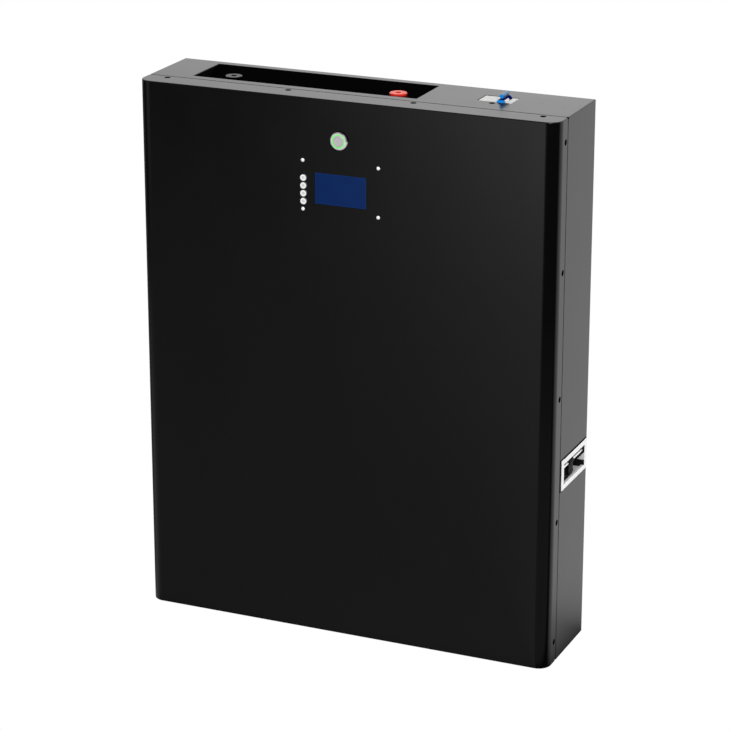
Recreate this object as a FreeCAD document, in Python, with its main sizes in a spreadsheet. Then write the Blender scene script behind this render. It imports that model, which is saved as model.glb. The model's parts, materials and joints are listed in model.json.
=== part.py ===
import FreeCAD, Part
import os
import re
import Sketcher

# A slim floor-standing or wall-hung home battery: a painted sheet-steel rear case and front cover round
# two rows of prismatic cells, with a sunk terminal pocket and a breaker in the top, a power button and a
# small display in the front, and a recessed lifting handle in each side.
# Millimetres. +Z is up, the front faces -Y, and the origin is the centre of the footprint on the bottom.

Vector = FreeCAD.Vector
Rotation = FreeCAD.Rotation

DIMENSIONS = [
    ("case_width", 600, "enclosure, side to side"),
    ("case_height", 758, "enclosure, bottom to top"),
    ("case_depth", 142.5, "enclosure, front to back"),
    ("cover_depth", 36, "front cover, front face to seam"),
    ("sheet", 1.5, "steel thickness of case and cover"),
    ("corner_radius", 18, "rounded upright front edges of the cover"),
    ("edge_radius", 1.2, "folded edges of the case and of the cover's top and bottom"),
    ("seam_gap", 2, "visible seam between cover and case"),
    ("lip_gap", 0.2, "lip set in under the cover's flange"),
    ("lip_reach", 15.6, "lip in front of the seam"),
    ("lip_root", 4, "joggle of the lip behind the seam"),
    ("notch", 2.4, "corner relief where the folds meet at the seam"),
    ("screw_setback", 8, "cover screws in front of the seam"),
    ("screw_x_pitch", 179.2, "cover screws along the top and bottom"),
    ("screw_z_pitch", 174, "cover screws along the sides"),
    ("screw_z_first", 31, "lowest side screw above the bottom"),
    ("screw_shank", 1.95, "shank radius of the cover screws"),
    ("screw_head", 2.9, "head radius of the cover screws"),
    ("screw_proud", 0.1, "screw heads above the face they sit in"),
    ("bore_radius", 4.2, "counterbore round a screw head"),
    ("bore_depth", 1, "counterbore below the face"),
    ("screw_socket", 1.2, "corner radius of the socket in a screw head"),
    ("socket_depth", 0.5, "socket in a screw head"),
    ("screw_play", 0.2, "clearance round a cover screw"),
    ("sink_radius", 3.6, "head radius of the flush screws below"),
    ("nut_radius", 3.6, "clinch nuts of the cover screws"),
    ("nut_depth", 3, "depth of a clinch nut"),
    ("press_play", 0.02, "clearance between pieces that are pressed or moulded together"),
    ("run_play", 0.05, "clearance between pieces that turn or screw together"),
    ("screw_length", 6, "cover screws under the head"),
    ("pocket_x", -78.8, "terminal pocket centre, across"),
    ("pocket_y", 18.55, "terminal pocket centre, front to back"),
    ("pocket_length", 325.9, "terminal pocket opening, across"),
    ("pocket_width", 77.4, "terminal pocket opening, front to back"),
    ("pocket_depth", 42, "terminal pocket below the top"),
    ("pocket_flare", 0.7, "bevel round the mouth of the terminal pocket"),
    ("tray_sheet", 1.2, "steel thickness of the pocket tray"),
    ("tray_rim", 6, "tray flange welded under the top"),
    ("terminal_offset", 121, "terminal from the pocket centre"),
    ("terminal_sink", 4.2, "terminal top below the case top"),
    ("terminal_radius", 12, "terminal column"),
    ("terminal_base", 17, "terminal base flange radius"),
    ("terminal_mouth", 4, "clearance hole over the thread"),
    ("terminal_foot", 4, "height of the terminal base flange"),
    ("terminal_chamfer", 0.8, "bevel of the terminal top"),
    ("boss_radius", 11, "terminal boss through the pocket floor"),
    ("boss_length", 12, "terminal boss below the pocket floor"),
    ("stud_length", 28, "terminal stud below the pocket floor"),
    ("insert_radius", 7, "brass insert in the terminal"),
    ("insert_sink", 2.5, "insert below the top of its terminal"),
    ("thread_radius", 3.4, "core of the M8 thread"),
    ("thread_depth", 20, "usable M8 thread"),
    ("breaker_x", 183.5, "breaker centre, across"),
    ("breaker_y", 20, "breaker centre, front to back"),
    ("nose_length", 46.2, "breaker face, across"),
    ("nose_width", 30, "breaker face, front to back"),
    ("nose_height", 20, "breaker face above its shoulders"),
    ("nose_sink", 0.4, "breaker face below the case top"),
    ("window_gap", 0.7, "gap round the breaker face"),
    ("breaker_length", 84, "breaker, across its shoulders"),
    ("breaker_height", 48, "breaker below its shoulders"),
    ("drum_radius", 6.2, "toggle drum"),
    ("drum_length", 27, "toggle drum, front to back"),
    ("toggle_offset", 8.3, "toggle to the right of the breaker centre"),
    ("drum_sink", 1.9, "toggle axis below the breaker face"),
    ("drum_gap", 0.4, "gap round the toggle drum"),
    ("bar_radius", 2.7, "toggle finger bar"),
    ("toggle_web", 3.2, "thickness of the toggle between its drum and its finger bar"),
    ("bar_length", 21.5, "toggle finger bar, front to back"),
    ("bar_rise", 9.4, "finger bar above the toggle axis"),
    ("pin_radius", 1, "toggle pin"),
    ("clamp_size", 12, "breaker clamp cage, across"),
    ("clamp_depth", 18, "breaker clamp cage, front to back"),
    ("clamp_height", 14, "breaker clamp cage, up"),
    ("clamp_play", 0.4, "clearance round a breaker clamp and its bar"),
    ("window_play", 0.6, "bracket window round the breaker face"),
    ("bracket_pitch", 46.4, "screws of the breaker bracket"),
    ("bracket_leg", 30, "legs and feet of the breaker bracket, across"),
    ("leg_inset", 3.75, "legs of the breaker bracket inside its screws"),
    ("bracket_foot", 9, "feet of the breaker bracket, front to back"),
    ("button_x", -3, "power button, across"),
    ("button_z", 704.4, "power button above the bottom"),
    ("button_radius", 12, "power button bezel"),
    ("button_proud", 4.5, "power button in front of the cover"),
    ("button_barrel", 10.9, "power button thread radius"),
    ("button_length", 24, "power button behind the cover face"),
    ("led_outer", 9.5, "lit ring, outer radius"),
    ("led_inner", 7.6, "lit ring, inner radius"),
    ("cap_radius", 7.5, "power button cap"),
    ("led_sink", 0.2, "lit ring behind the bezel's face"),
    ("cap_dish", 0.15, "dish in the power button cap"),
    ("cap_flat", 5.6, "inner radius of the cap's raised border"),
    ("led_depth", 6, "lit ring, front to back"),
    ("cap_length", 12, "power button cap, front to back"),
    ("stem_radius", 3, "stem of the power button"),
    ("stem_reach", 18, "end of the stem behind the button's face"),
    ("bezel_chamfer", 1.2, "bevel of the power button bezel"),
    ("gasket_sheet", 0.5, "thickness of the power button gasket"),
    ("button_nut_corner", 15.5, "corner radius of the power button nut"),
    ("switch_radius", 10, "power button contact block"),
    ("switch_length", 14, "power button contact block, front to back"),
    ("switch_well", 4, "well in the contact block"),
    ("display_x", -2, "display window centre, across"),
    ("display_z", 636.6, "display window centre above the bottom"),
    ("display_width", 73.4, "display window"),
    ("display_height", 42.2, "display window"),
    ("display_gap", 0.2, "gap round the display window"),
    ("lens_sink", 0.3, "display window behind the cover face"),
    ("lens_flange", 1.2, "flange of the display window"),
    ("module_offset", 2, "display module to the right of its window"),
    ("module_border", 6, "display module beyond its window"),
    ("lens_border", 4, "glued flange round the display window"),
    ("display_dome", 2.9, "dome radius of the display screws"),
    ("dome_sink", 1.3, "dome centre behind the cover face"),
    ("display_screw_x", 108.6, "display screws, across"),
    ("display_screw_z", 66.7, "display screws, up"),
    ("display_screw_middle_x", -2.2, "middle of the display screws, across"),
    ("display_screw_middle_z", 639.5, "middle of the display screws above the bottom"),
    ("small_shank", 1.22, "display screw shank"),
    ("small_hole", 1.4, "holes for the display screws"),
    ("standoff_radius", 2.9, "display standoffs"),
    ("board_thickness", 1.6, "thickness of the display board and the cell-monitor boards"),
    ("board_border", 6, "display board beyond its screws"),
    ("board_setback", 11.65, "front of the display board behind the cover face"),
    ("key_x", -55, "keys, across"),
    ("key_top_z", 649.4, "top key above the bottom"),
    ("key_pitch", 10.7, "key to key"),
    ("key_radius", 4.6, "key cap"),
    ("key_proud", 2.6, "key cap in front of the cover"),
    ("key_gap", 0.2, "gap round a key cap"),
    ("key_dish", 0.35, "dish and rounding of a key's face"),
    ("key_flat", 3.2, "radius of the flat of a key's face"),
    ("key_keeper", 1, "thickness of a key's keeper flange"),
    ("key_stem", 2, "radius of a key's stem"),
    ("key_back", -6.75, "end of a key's stem in front of the cover face"),
    ("switch_size", 6, "key switch, across and up"),
    ("switch_rise", 3.4, "key switch in front of its board"),
    ("plunger_rise", 4.2, "plunger of a key switch in front of its board"),
    ("plunger_radius", 1.7, "plunger of a key switch"),
    ("handle_y", 17.5, "lifting handle frame centre, front to back"),
    ("handle_z", 266.7, "lifting handle frame centre above the bottom"),
    ("handle_length", 97, "handle frame, front to back"),
    ("handle_height", 42.8, "handle frame, up"),
    ("handle_plate", 1.5, "handle frame outside the case"),
    ("mouth_y", 18.1, "handle mouth centre, front to back"),
    ("mouth_length", 81.8, "handle mouth, front to back"),
    ("mouth_low", 252, "bottom of the handle mouth above the bottom"),
    ("mouth_high", 281, "top of the handle mouth above the bottom"),
    ("cup_low", 237, "floor of the cup behind the mouth above the bottom"),
    ("cup_depth", 16, "cup behind the case side"),
    ("cup_sheet", 1.2, "steel thickness of the cup"),
    ("pad_low", 249.6, "rubber edging in the cup above the bottom"),
    ("pad_high", 258.7, "top of the rubber edging above the bottom"),
    ("pad_sheet", 1.5, "thickness of the rubber edging"),
    ("rod_radius", 1.6, "handle hinge rod"),
    ("rod_inset", 3, "hinge rod behind the case side"),
    ("rod_z", 272.8, "hinge rod above the bottom"),
    ("grip_y", 11.5, "handle grip centre, front to back"),
    ("grip_length", 17, "handle grip, front to back"),
    ("grip_web", 3.6, "thickness of the grip's web"),
    ("knuckle_radius", 3.4, "grip knuckle on the rod"),
    ("bead_radius", 2.6, "rounded lower edge of the grip"),
    ("bead_drop", 15, "lower edge of the grip below the rod"),
    ("cell_pitch", 36.7, "cell to cell"),
    ("cell_gap", 0.4, "between cells"),
    ("cell_depth", 130.3, "cell, front to back"),
    ("cell_height", 200.5, "cell, up"),
    ("cell_y", 3.15, "cell rows, front to back"),
    ("rail_offset", 20, "bottom rails from the middle of the cells"),
    ("rail_width", 22, "bottom rails, front to back"),
    ("lower_cells_z", 12, "bottom of the lower cells"),
    ("upper_cells_z", 297, "bottom of the upper cells"),
    ("post_radius", 7, "cell terminal post"),
    ("post_height", 3, "cell terminal post"),
    ("post_offset", 40, "cell post from the middle of the cell"),
    ("strap", 2, "thickness of the cell straps"),
    ("strap_width", 20, "width of the cell straps"),
    ("strap_overlap", 8, "cell straps beyond the middle of a post"),
    ("post_reach", 9, "bars and links beyond the middle of a post, front to back"),
    ("bar_reach", 12, "main bars beyond a stud or into a clamp"),
    ("bar_end", 14, "main bars short of the case side"),
    ("lug_inset", 15, "lugs inside the end of the control board"),
    ("lug_drop", 45, "output lug below the bars"),
    ("lug_rise", 30, "battery lug above the board's lower edge"),
    ("sense_length", 520, "cell-monitor boards, across"),
    ("sense_width", 30, "cell-monitor boards, front to back"),
    ("end_plate", 2.8, "thickness of the plates at the ends of the rows"),
    ("shelf_sheet", 2, "thickness of the middle shelf"),
    ("shelf_upturn", 24, "upturned flanges of the middle shelf"),
    ("flange_sheet", 1.4, "thickness of the upturned flanges"),
    ("bar_thickness", 3, "thickness of the main bars"),
    ("bar_width", 14, "width of the main bars"),
    ("bar_level", 700, "output bars above the bottom"),
    ("nut_height", 6, "terminal nuts"),
    ("terminal_nut", 16, "corner radius of the wide terminal nuts"),
    ("stud_nut", 7.5, "corner radius of the nuts on the terminal studs"),
    ("stud_radius", 3.9, "terminal stud"),
    ("stud_hole", 4.1, "holes in the bars for the studs"),
    ("board_length", 300, "control board, across"),
    ("board_low", 530, "bottom of the control board"),
    ("board_high", 690, "top of the control board"),
    ("board_y", 36, "front of the control board"),
    ("board_sheet", 2, "thickness of the control board"),
    ("board_screw_x", 280, "screws of the control board, across"),
    ("board_screw_z", 140, "screws of the control board, up"),
    ("post_hole", 2.1, "holes for the control board's screws"),
    ("spacer_radius", 4, "control board standoffs"),
    ("mosfet_width", 10, "power transistors, width"),
    ("mosfet_length", 15, "power transistors, length"),
    ("mosfet_pitch", 20, "power transistors, across"),
    ("mosfet_rows", 50, "power transistors, row to row"),
    ("mosfet_height", 4.5, "power transistors behind the board"),
    ("sink_length", 260, "heat sink, across"),
    ("sink_height", 100, "heat sink, up"),
    ("sink_base", 4.5, "heat sink base"),
    ("fin_pitch", 19, "heat sink fins, across"),
    ("fin_sheet", 2.4, "thickness of a fin"),
    ("fin_depth", 17, "fins behind the base"),
    ("wall_nut_x", 440, "wall nuts, across"),
    ("wall_nut_z", 400, "wall nuts, up"),
    ("wall_nut_low", 252, "lower wall nuts above the bottom"),
    ("wall_nut_radius", 2.5, "core of the M6 thread"),
    ("wall_nut_hub", 4.25, "hub of a wall nut in the back"),
    ("wall_nut_flange", 5.5, "flange of a wall nut"),
    ("wall_nut_depth", 5, "wall nut inside the back"),
]
CELL_COUNT = 16
KEY_COUNT = 4
FIN_COUNT = 14
MOSFET_COLUMNS = 12

document = FreeCAD.newDocument("battery_pack")
sheet = document.addObject("Spreadsheet::Sheet", "dims")
for row, (alias, value, note) in enumerate(DIMENSIONS, start=1):
    sheet.set(f"A{row}", note)
    sheet.set(f"B{row}", str(value))
    sheet.setAlias(f"B{row}", alias)
document.recompute()
ALIASES = {alias for alias, value, note in DIMENSIONS}

# Planes that many pieces share, as rules on the sheet's cells.
FRONT = "(-case_depth / 2)"
BACK = "(case_depth / 2)"
SEAM = "(cover_depth - case_depth / 2)"
INSIDE_FRONT = f"({FRONT} + sheet)"
INSIDE_BACK = f"({BACK} - sheet)"
INSIDE_TOP = "(case_height - sheet)"
LIP_OUTER = "(sheet + lip_gap)"
LIP_INNER = "(2 * sheet + lip_gap)"
SCREW_Y = f"({SEAM} - screw_setback)"
POCKET_FLOOR = "(case_height - pocket_depth)"
NOSE_TOP = "(case_height - nose_sink)"
SHOULDER = f"({NOSE_TOP} - nose_height)"
CLAMP_LEVEL = f"({SHOULDER} - 18)"
TOGGLE_X = "(breaker_x + toggle_offset)"
TOGGLE_Z = f"({NOSE_TOP} - drum_sink)"
BOARD_FRONT = f"({FRONT} + board_setback)"
POST_TOP_UPPER = "(upper_cells_z + cell_height + post_height)"
SCREW_COLUMNS = [f"{step} * screw_x_pitch" for step in (-1.5, -0.5, 0.5, 1.5)]
SIDE_HEIGHTS = [f"screw_z_first + {index} * screw_z_pitch" for index in range(5)]


def rule(text):
    """An expression on the sheet's cells: each alias gets the sheet's name."""

    def named(word):
        return f"dims.{word[0]}" if word[0] in ALIASES else word[0]

    return re.sub(r"[a-z][a-z0-9_]*", named, text)


def place(item, x, y, z):
    for axis, text in zip("xyz", (x, y, z)):
        item.setExpression(f"Placement.Base.{axis}", rule(text))


def around(centre, size):
    """The low and high ends of a span by its middle."""
    return f"({centre}) - ({size}) / 2", f"({centre}) + ({size}) / 2"


def block(name, x, y, z):
    """A box by its low and high ends along each axis."""
    item = document.addObject("Part::Box", name)
    for side, (low, high) in zip(("Length", "Width", "Height"), (x, y, z)):
        item.setExpression(side, rule(f"({high}) - ({low})"))
    place(item, x[0], y[0], z[0])
    return item


TURN_TO = {
    "x": Rotation(Vector(0, 1, 0), 90),
    "y": Rotation(Vector(1, 0, 0), -90),
    "z": Rotation(),
}


def stand(item, axis, along, at):
    """Stands a primitive along an axis from along[0] to along[1]; at gives its other two coordinates."""
    item.Placement = FreeCAD.Placement(Vector(), TURN_TO[axis])
    item.setExpression("Height", rule(f"({along[1]}) - ({along[0]})"))
    middle = dict(zip([letter for letter in "xyz" if letter != axis], at))
    middle[axis] = along[0]
    place(item, middle["x"], middle["y"], middle["z"])
    return item


def rod(name, axis, radius, along, at):
    item = document.addObject("Part::Cylinder", name)
    item.setExpression("Radius", rule(radius))
    return stand(item, axis, along, at)


def taper(name, axis, first_radius, last_radius, along, at):
    item = document.addObject("Part::Cone", name)
    item.setExpression("Radius1", rule(first_radius))
    item.setExpression("Radius2", rule(last_radius))
    return stand(item, axis, along, at)


def hexagon(name, axis, corner_radius, along, at):
    item = document.addObject("Part::Prism", name)
    item.Polygon = 6
    item.setExpression("Circumradius", rule(corner_radius))
    return stand(item, axis, along, at)


def fuse(name, items):
    item = document.addObject("Part::MultiFuse", name)
    item.Shapes = items
    return item


def cut(name, solid, tools):
    item = document.addObject("Part::Cut", name)
    item.Base = solid
    item.Tool = tools[0] if len(tools) == 1 else group(name + "_tools", tools)
    return item


def group(name, items):
    """Separate solids of one kind, kept together as one node."""
    item = document.addObject("Part::Compound", name)
    item.Links = items
    return item


def ring(name, axis, outer, inner, along, at):
    bore = rod(name + "_bore", axis, inner, along, at)
    return cut(name, rod(name + "_outer", axis, outer, along, at), [bore])


def origin_plane(body, role):
    return next(feature for feature in body.Origin.OriginFeatures if feature.Role == role)


def outline(body, name, role, corners):
    """A closed sketch through corners, each held by two rules, on one of the body's origin planes."""
    sketch = body.newObject("Sketcher::SketchObject", name)
    sketch.AttachmentSupport = [(origin_plane(body, role), "")]
    sketch.MapMode = "FlatFace"
    count = len(corners)
    spread = Vector(100, 0, 0)
    starts = [Rotation(Vector(0, 0, 1), 360.0 * index / count).multVec(spread) for index in range(count)]
    for index in range(count):
        sketch.addGeometry(Part.LineSegment(starts[index], starts[(index + 1) % count]))
    for index in range(count):
        sketch.addConstraint(Sketcher.Constraint("Coincident", index, 2, (index + 1) % count, 1))
    for index, corner in enumerate(corners):
        for kind, text, start, axis in zip(("DistanceX", "DistanceY"), corner, starts[index][:2], (-2, -1)):
            if text == "0":
                sketch.addConstraint(Sketcher.Constraint("PointOnObject", index, 1, axis))
                continue
            held = sketch.addConstraint(Sketcher.Constraint(kind, -1, 1, index, 1, start))
            label = f"{kind}_{index}"
            sketch.renameConstraint(held, label)
            sketch.setExpression(f"Constraints.{label}", rule(text))
    return sketch


def turned(name, profile, x, y, z, facing_front=False):
    """A body of revolution from (radius, height) corners about an upright or forward-facing axis."""
    body = document.addObject("PartDesign::Body", name)
    spin = body.newObject("PartDesign::Revolution", name + "_spin")
    spin.Profile = outline(body, name + "_profile", "XZ_Plane", profile)
    spin.ReferenceAxis = (spin.Profile[0], ["V_Axis"])
    spin.Angle = 360
    body.Tip = spin
    if facing_front:
        body.Placement = FreeCAD.Placement(Vector(), Rotation(Vector(1, 0, 0), 90))
    place(body, x, y, z)
    return body


def padded_plan(name, inset, front, back):
    """A body with the enclosure's plan, inset on its sides, top and bottom, padded to its height."""
    half = f"case_width / 2 - {inset}"
    body = document.addObject("PartDesign::Body", name)
    pad = body.newObject("PartDesign::Pad", name + "_pad")
    corners = [(f"-({half})", front), (half, front), (half, back), (f"-({half})", back)]
    pad.Profile = outline(body, name + "_plan", "XY_Plane", corners)
    pad.setExpression("Length", rule(f"case_height - 2 * {inset}"))
    place(body, "0", "0", inset)
    document.recompute()
    return body, pad


def rounded(body, base, name, radius, wanted):
    """Rounds the edges of a body's last feature that wanted(box, shape) picks by their bounding box."""
    names = [
        f"Edge{index}"
        for index, edge in enumerate(base.Shape.Edges, start=1)
        if wanted(edge.BoundBox, base.Shape.BoundBox)
    ]
    bend = body.newObject("PartDesign::Fillet", name)
    bend.Base = (base, names)
    bend.setExpression("Radius", rule(radius))
    body.Tip = bend
    document.recompute()
    return bend


def is_upright_at_front(edge, whole):
    return edge.ZLength > whole.ZLength / 2 and edge.YMax < whole.Center.y


def is_level_but_not_at_back(edge, whole):
    return edge.ZLength < 1 and edge.YMin < whole.YMax - 1


def is_not_at_front(edge, whole):
    return edge.YMax > whole.YMin + 1


def cover_block(name, inset, front, back):
    """The cover's block, its front uprights rounded."""
    body, pad = padded_plan(name, inset, front, back)
    bend = rounded(body, pad, name + "_bend", f"corner_radius - {inset}", is_upright_at_front)
    return body, bend


def sunk_screw(name, axis, side, face, at):
    """A socket-head screw sunk in a face that looks along side (+1 or -1) of the axis."""

    def span(inner, outer):
        ends = (f"{face} + {side} * ({inner})", f"{face} + {side} * ({outer})")
        return ends if side > 0 else ends[::-1]

    head = rod(name + "_head", axis, "screw_head", span("-bore_depth", "screw_proud"), at)
    shank = rod(name + "_shank", axis, "screw_shank", span("-screw_length", "-bore_depth / 2"), at)
    well = span("screw_proud - socket_depth", "screw_proud + 1")
    socket = hexagon(name + "_socket", axis, "screw_socket", well, at)
    return cut(name, fuse(name + "_blank", [head, shank]), [socket])


def flush_screw(column):
    """A countersunk screw in the bottom of the cover, so that the enclosure stands flat."""
    at = (column, SCREW_Y)
    head = taper("flush_head", "z", "sink_radius", "screw_shank", ("0.1", "sheet"), at)
    shank = rod("flush_shank", "z", "screw_shank", ("1", "screw_length"), at)
    socket = hexagon("flush_socket", "z", "screw_socket", ("-1", "socket_depth + 0.1"), at)
    return cut("flush_screw", fuse("flush_blank", [head, shank]), [socket])


def top_screw(column):
    return sunk_screw("top_screw", "z", 1, "case_height", (column, SCREW_Y))


def side_screws(side):
    """The row of cover screws up one side of the case."""
    face = f"{side} * case_width / 2"
    return [sunk_screw("side_screw", "x", side, face, (SCREW_Y, height)) for height in SIDE_HEIGHTS]


def cover_screws():
    """All the screws that hold the cover: sunk heads in the top and sides, countersunk heads below."""
    screws = side_screws(-1) + side_screws(1)
    for column in SCREW_COLUMNS:
        screws += [top_screw(column), flush_screw(column)]
    return group("cover_screws", screws)


def cover_screw_holes(radius):
    """Clearance holes through the flanges on all four sides."""
    holes = []
    for column in SCREW_COLUMNS:
        for level in ("0", "case_height"):
            holes.append(rod("flange_hole", "z", radius, around(level, "16"), (column, SCREW_Y)))
    for height in SIDE_HEIGHTS:
        for side in (-1, 1):
            span = around(f"{side} * case_width / 2", "16")
            holes.append(rod("flange_hole", "x", radius, span, (SCREW_Y, height)))
    return holes


def cover_counterbores():
    """Recesses for the screw heads in the top and sides of the cover."""
    bores = [counterbore((column, SCREW_Y)) for column in SCREW_COLUMNS]
    for height in SIDE_HEIGHTS:
        for side in (-1, 1):
            span = out_from(side)("-bore_depth", "bore_depth")
            bores.append(rod("side_counterbore", "x", "bore_radius", span, (SCREW_Y, height)))
    return bores


def counterbore(at):
    return rod("top_counterbore", "z", "bore_radius", around("case_height", "2 * bore_depth"), at)


def seam_notches():
    """Corner reliefs at the seam, on the four long edges of the enclosure."""
    size = "2 * notch"
    return [
        block("relief", around(x, size), around(SEAM, size), around(z, size))
        for x in ("-case_width / 2", "case_width / 2")
        for z in ("0", "case_height")
    ]


def out_from(side):
    """Places measured out from one side of the case: side is +1 on the right and -1 on the left."""

    def span(inner, outer):
        ends = (f"{side} * (case_width / 2 + ({inner}))", f"{side} * (case_width / 2 + ({outer}))")
        return ends if side > 0 else ends[::-1]

    return span


def rear_case():
    outer, pad = padded_plan("case_outer", "0", f"{SEAM} + seam_gap / 2", BACK)
    rounded(outer, pad, "case_folds", "edge_radius", is_not_at_front)
    hollow = block(
        "case_hollow",
        around("0", "case_width - 2 * sheet"),
        (f"{SEAM} - 1", INSIDE_BACK),
        ("sheet", INSIDE_TOP),
    )
    shell = cut("case_shell", outer, [hollow])
    frames = []
    for name, outer_inset, front, back in (
        ("lip", LIP_OUTER, f"{SEAM} - lip_reach", f"{SEAM} + lip_root"),
        ("joggle", "sheet / 2", f"{SEAM} + seam_gap / 2", f"{SEAM} + lip_root"),
    ):
        skin = block(
            f"{name}_outer",
            around("0", f"case_width - 2 * {outer_inset}"),
            (front, back),
            (outer_inset, f"case_height - {outer_inset}"),
        )
        inside = block(
            f"{name}_inner",
            around("0", f"case_width - 2 * {LIP_INNER}"),
            (f"{front} - 1", f"{back} + 1"),
            (LIP_INNER, f"case_height - {LIP_INNER}"),
        )
        frames.append(cut(f"{name}_frame", skin, [inside]))
    folded = fuse("case_folded", [shell] + frames)
    openings = cover_screw_holes("screw_shank + screw_play") + seam_notches()
    pocket = (around("pocket_x", "pocket_length"), around("pocket_y", "pocket_width"))
    openings.append(block("pocket_opening", *pocket, around("case_height", "4 * sheet")))
    openings.append(flared_mouth("pocket_flare_tool", *pocket, "pocket_flare"))
    openings.append(
        block(
            "breaker_opening",
            around("breaker_x", "nose_length + 2 * window_gap"),
            around("breaker_y", "nose_width + 2 * window_gap"),
            around("case_height", "4 * sheet"),
        )
    )
    for side in (-1, 1):
        openings.append(
            block(
                "handle_opening",
                out_from(side)("-4", "4"),
                around("mouth_y", "mouth_length + 2 * cup_sheet"),
                ("mouth_low - cup_sheet", "mouth_high + cup_sheet"),
            )
        )
        at = ("breaker_x", f"breaker_y + {side} * bracket_pitch / 2")
        openings.append(rod("bracket_hole", "z", "screw_shank + screw_play", around("case_height", "8"), at))
        openings.append(counterbore(at))
    for x, z in wall_nut_places():
        openings.append(rod("wall_nut_hole", "y", "wall_nut_hub + run_play", around(BACK, "8"), (x, z)))
    return cut("rear_case", folded, openings)


def flared_mouth(name, x, y, flare):
    """A tool that bevels the edges of an opening in the top: x and y are the opening's ends."""
    item = document.addObject("Part::Wedge", name)
    item.Placement = FreeCAD.Placement(Vector(), Rotation(Vector(1, 0, 0), 90))
    ends = {
        "Xmin": x[0],
        "Xmax": x[1],
        "Zmin": f"-({y[1]})",
        "Zmax": f"-({y[0]})",
        "Ymin": f"case_height - {flare}",
        "Ymax": f"case_height + {flare}",
        "X2min": f"{x[0]} - 2 * {flare}",
        "X2max": f"{x[1]} + 2 * {flare}",
        "Z2min": f"-({y[1]}) - 2 * {flare}",
        "Z2max": f"-({y[0]}) + 2 * {flare}",
    }
    for side, text in ends.items():
        item.setExpression(side, rule(text))
    return item


def wall_nut_places():
    rows = ("wall_nut_low", "wall_nut_low + wall_nut_z")
    return [(f"{side} * wall_nut_x / 2", height) for side in (-1, 1) for height in rows]


def wall_nuts():
    """Self-clinching nuts, flush with the outside of the back."""
    nuts = []
    for x, z in wall_nut_places():
        near = f"{INSIDE_BACK} - wall_nut_depth"
        body = rod("wall_nut_body", "y", "wall_nut_flange", (near, INSIDE_BACK), (x, z))
        hub = rod("wall_nut_hub", "y", "wall_nut_hub", (f"{INSIDE_BACK} - 1", BACK), (x, z))
        bore = rod("wall_nut_bore", "y", "wall_nut_radius", (f"{near} - 1", f"{BACK} + 1"), (x, z))
        nuts.append(cut("wall_nut", fuse("wall_nut_blank", [body, hub]), [bore]))
    return group("wall_nuts", nuts)


def front_cover():
    outer, bend = cover_block("cover_outer", "0", FRONT, f"{SEAM} - seam_gap / 2")
    rounded(outer, bend, "cover_folds", "edge_radius", is_level_but_not_at_back)
    inner, inner_bend = cover_block("cover_inner", "sheet", INSIDE_FRONT, f"{SEAM} + 1")
    openings = [inner] + cover_screw_holes("screw_shank + 2 * screw_play") + cover_counterbores()
    openings += seam_notches()
    for column in SCREW_COLUMNS:
        radii = ("sink_radius + 3 * screw_play", "screw_shank + 1.5 * screw_play")
        span = ("-2 * screw_play", "sheet")
        openings.append(taper("countersink", "z", *radii, span, (column, SCREW_Y)))
    openings.append(
        block(
            "display_opening",
            around("display_x", "display_width + 2 * display_gap"),
            around(FRONT, "4 * sheet"),
            around("display_z", "display_height + 2 * display_gap"),
        )
    )
    at = ("button_x", "button_z")
    openings.append(rod("button_hole", "y", "button_barrel + 2 * run_play", around(FRONT, "8"), at))
    for index in range(KEY_COUNT):
        height = f"key_top_z - {index} * key_pitch"
        openings.append(rod("key_hole", "y", "key_radius + key_gap", around(FRONT, "8"), ("key_x", height)))
    for x, z in display_corners():
        openings.append(rod("display_screw_hole", "y", "small_hole", around(FRONT, "8"), (x, z)))
    return cut("front_cover", outer, openings)


def cover_nuts():
    """Clinch nuts on the inside of the lip, one behind each cover screw."""
    nuts = []
    radii = ("nut_radius", "screw_shank + run_play")
    low = (LIP_INNER, f"{LIP_INNER} + nut_depth")
    high = (f"case_height - {LIP_INNER} - nut_depth", f"case_height - {LIP_INNER}")
    for column in SCREW_COLUMNS:
        for span in (low, high):
            nuts.append(ring("cover_nut", "z", *radii, span, (column, SCREW_Y)))
    for height in SIDE_HEIGHTS:
        for side in (-1, 1):
            span = out_from(side)(f"-{LIP_INNER} - nut_depth", f"-{LIP_INNER}")
            nuts.append(ring("cover_nut", "x", *radii, span, (SCREW_Y, height)))
    return group("cover_nuts", nuts)


def terminal_places():
    return ["pocket_x - terminal_offset", "pocket_x + terminal_offset"]


def terminal_tray():
    """The pocket's folded tray: floor, four walls and a flange under the top of the case."""
    wall = "2 + 2 * tray_sheet"
    flange = block(
        "tray_flange",
        around("pocket_x", f"pocket_length + {wall} + 2 * tray_rim"),
        around("pocket_y", f"pocket_width + {wall} + 2 * tray_rim"),
        (f"{INSIDE_TOP} - tray_sheet", INSIDE_TOP),
    )
    tub = block(
        "tray_tub",
        around("pocket_x", f"pocket_length + {wall}"),
        around("pocket_y", f"pocket_width + {wall}"),
        (f"{POCKET_FLOOR} - tray_sheet", INSIDE_TOP),
    )
    hollow = block(
        "tray_hollow",
        around("pocket_x", "pocket_length + 2"),
        around("pocket_y", "pocket_width + 2"),
        (POCKET_FLOOR, "case_height"),
    )
    holes = [
        rod("tray_hole", "z", "boss_radius + 1.5 * screw_play", around(POCKET_FLOOR, "8"), (x, "pocket_y"))
        for x in terminal_places()
    ]
    return cut("terminal_tray", fuse("tray_blank", [flange, tub]), [hollow] + holes)


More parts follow.
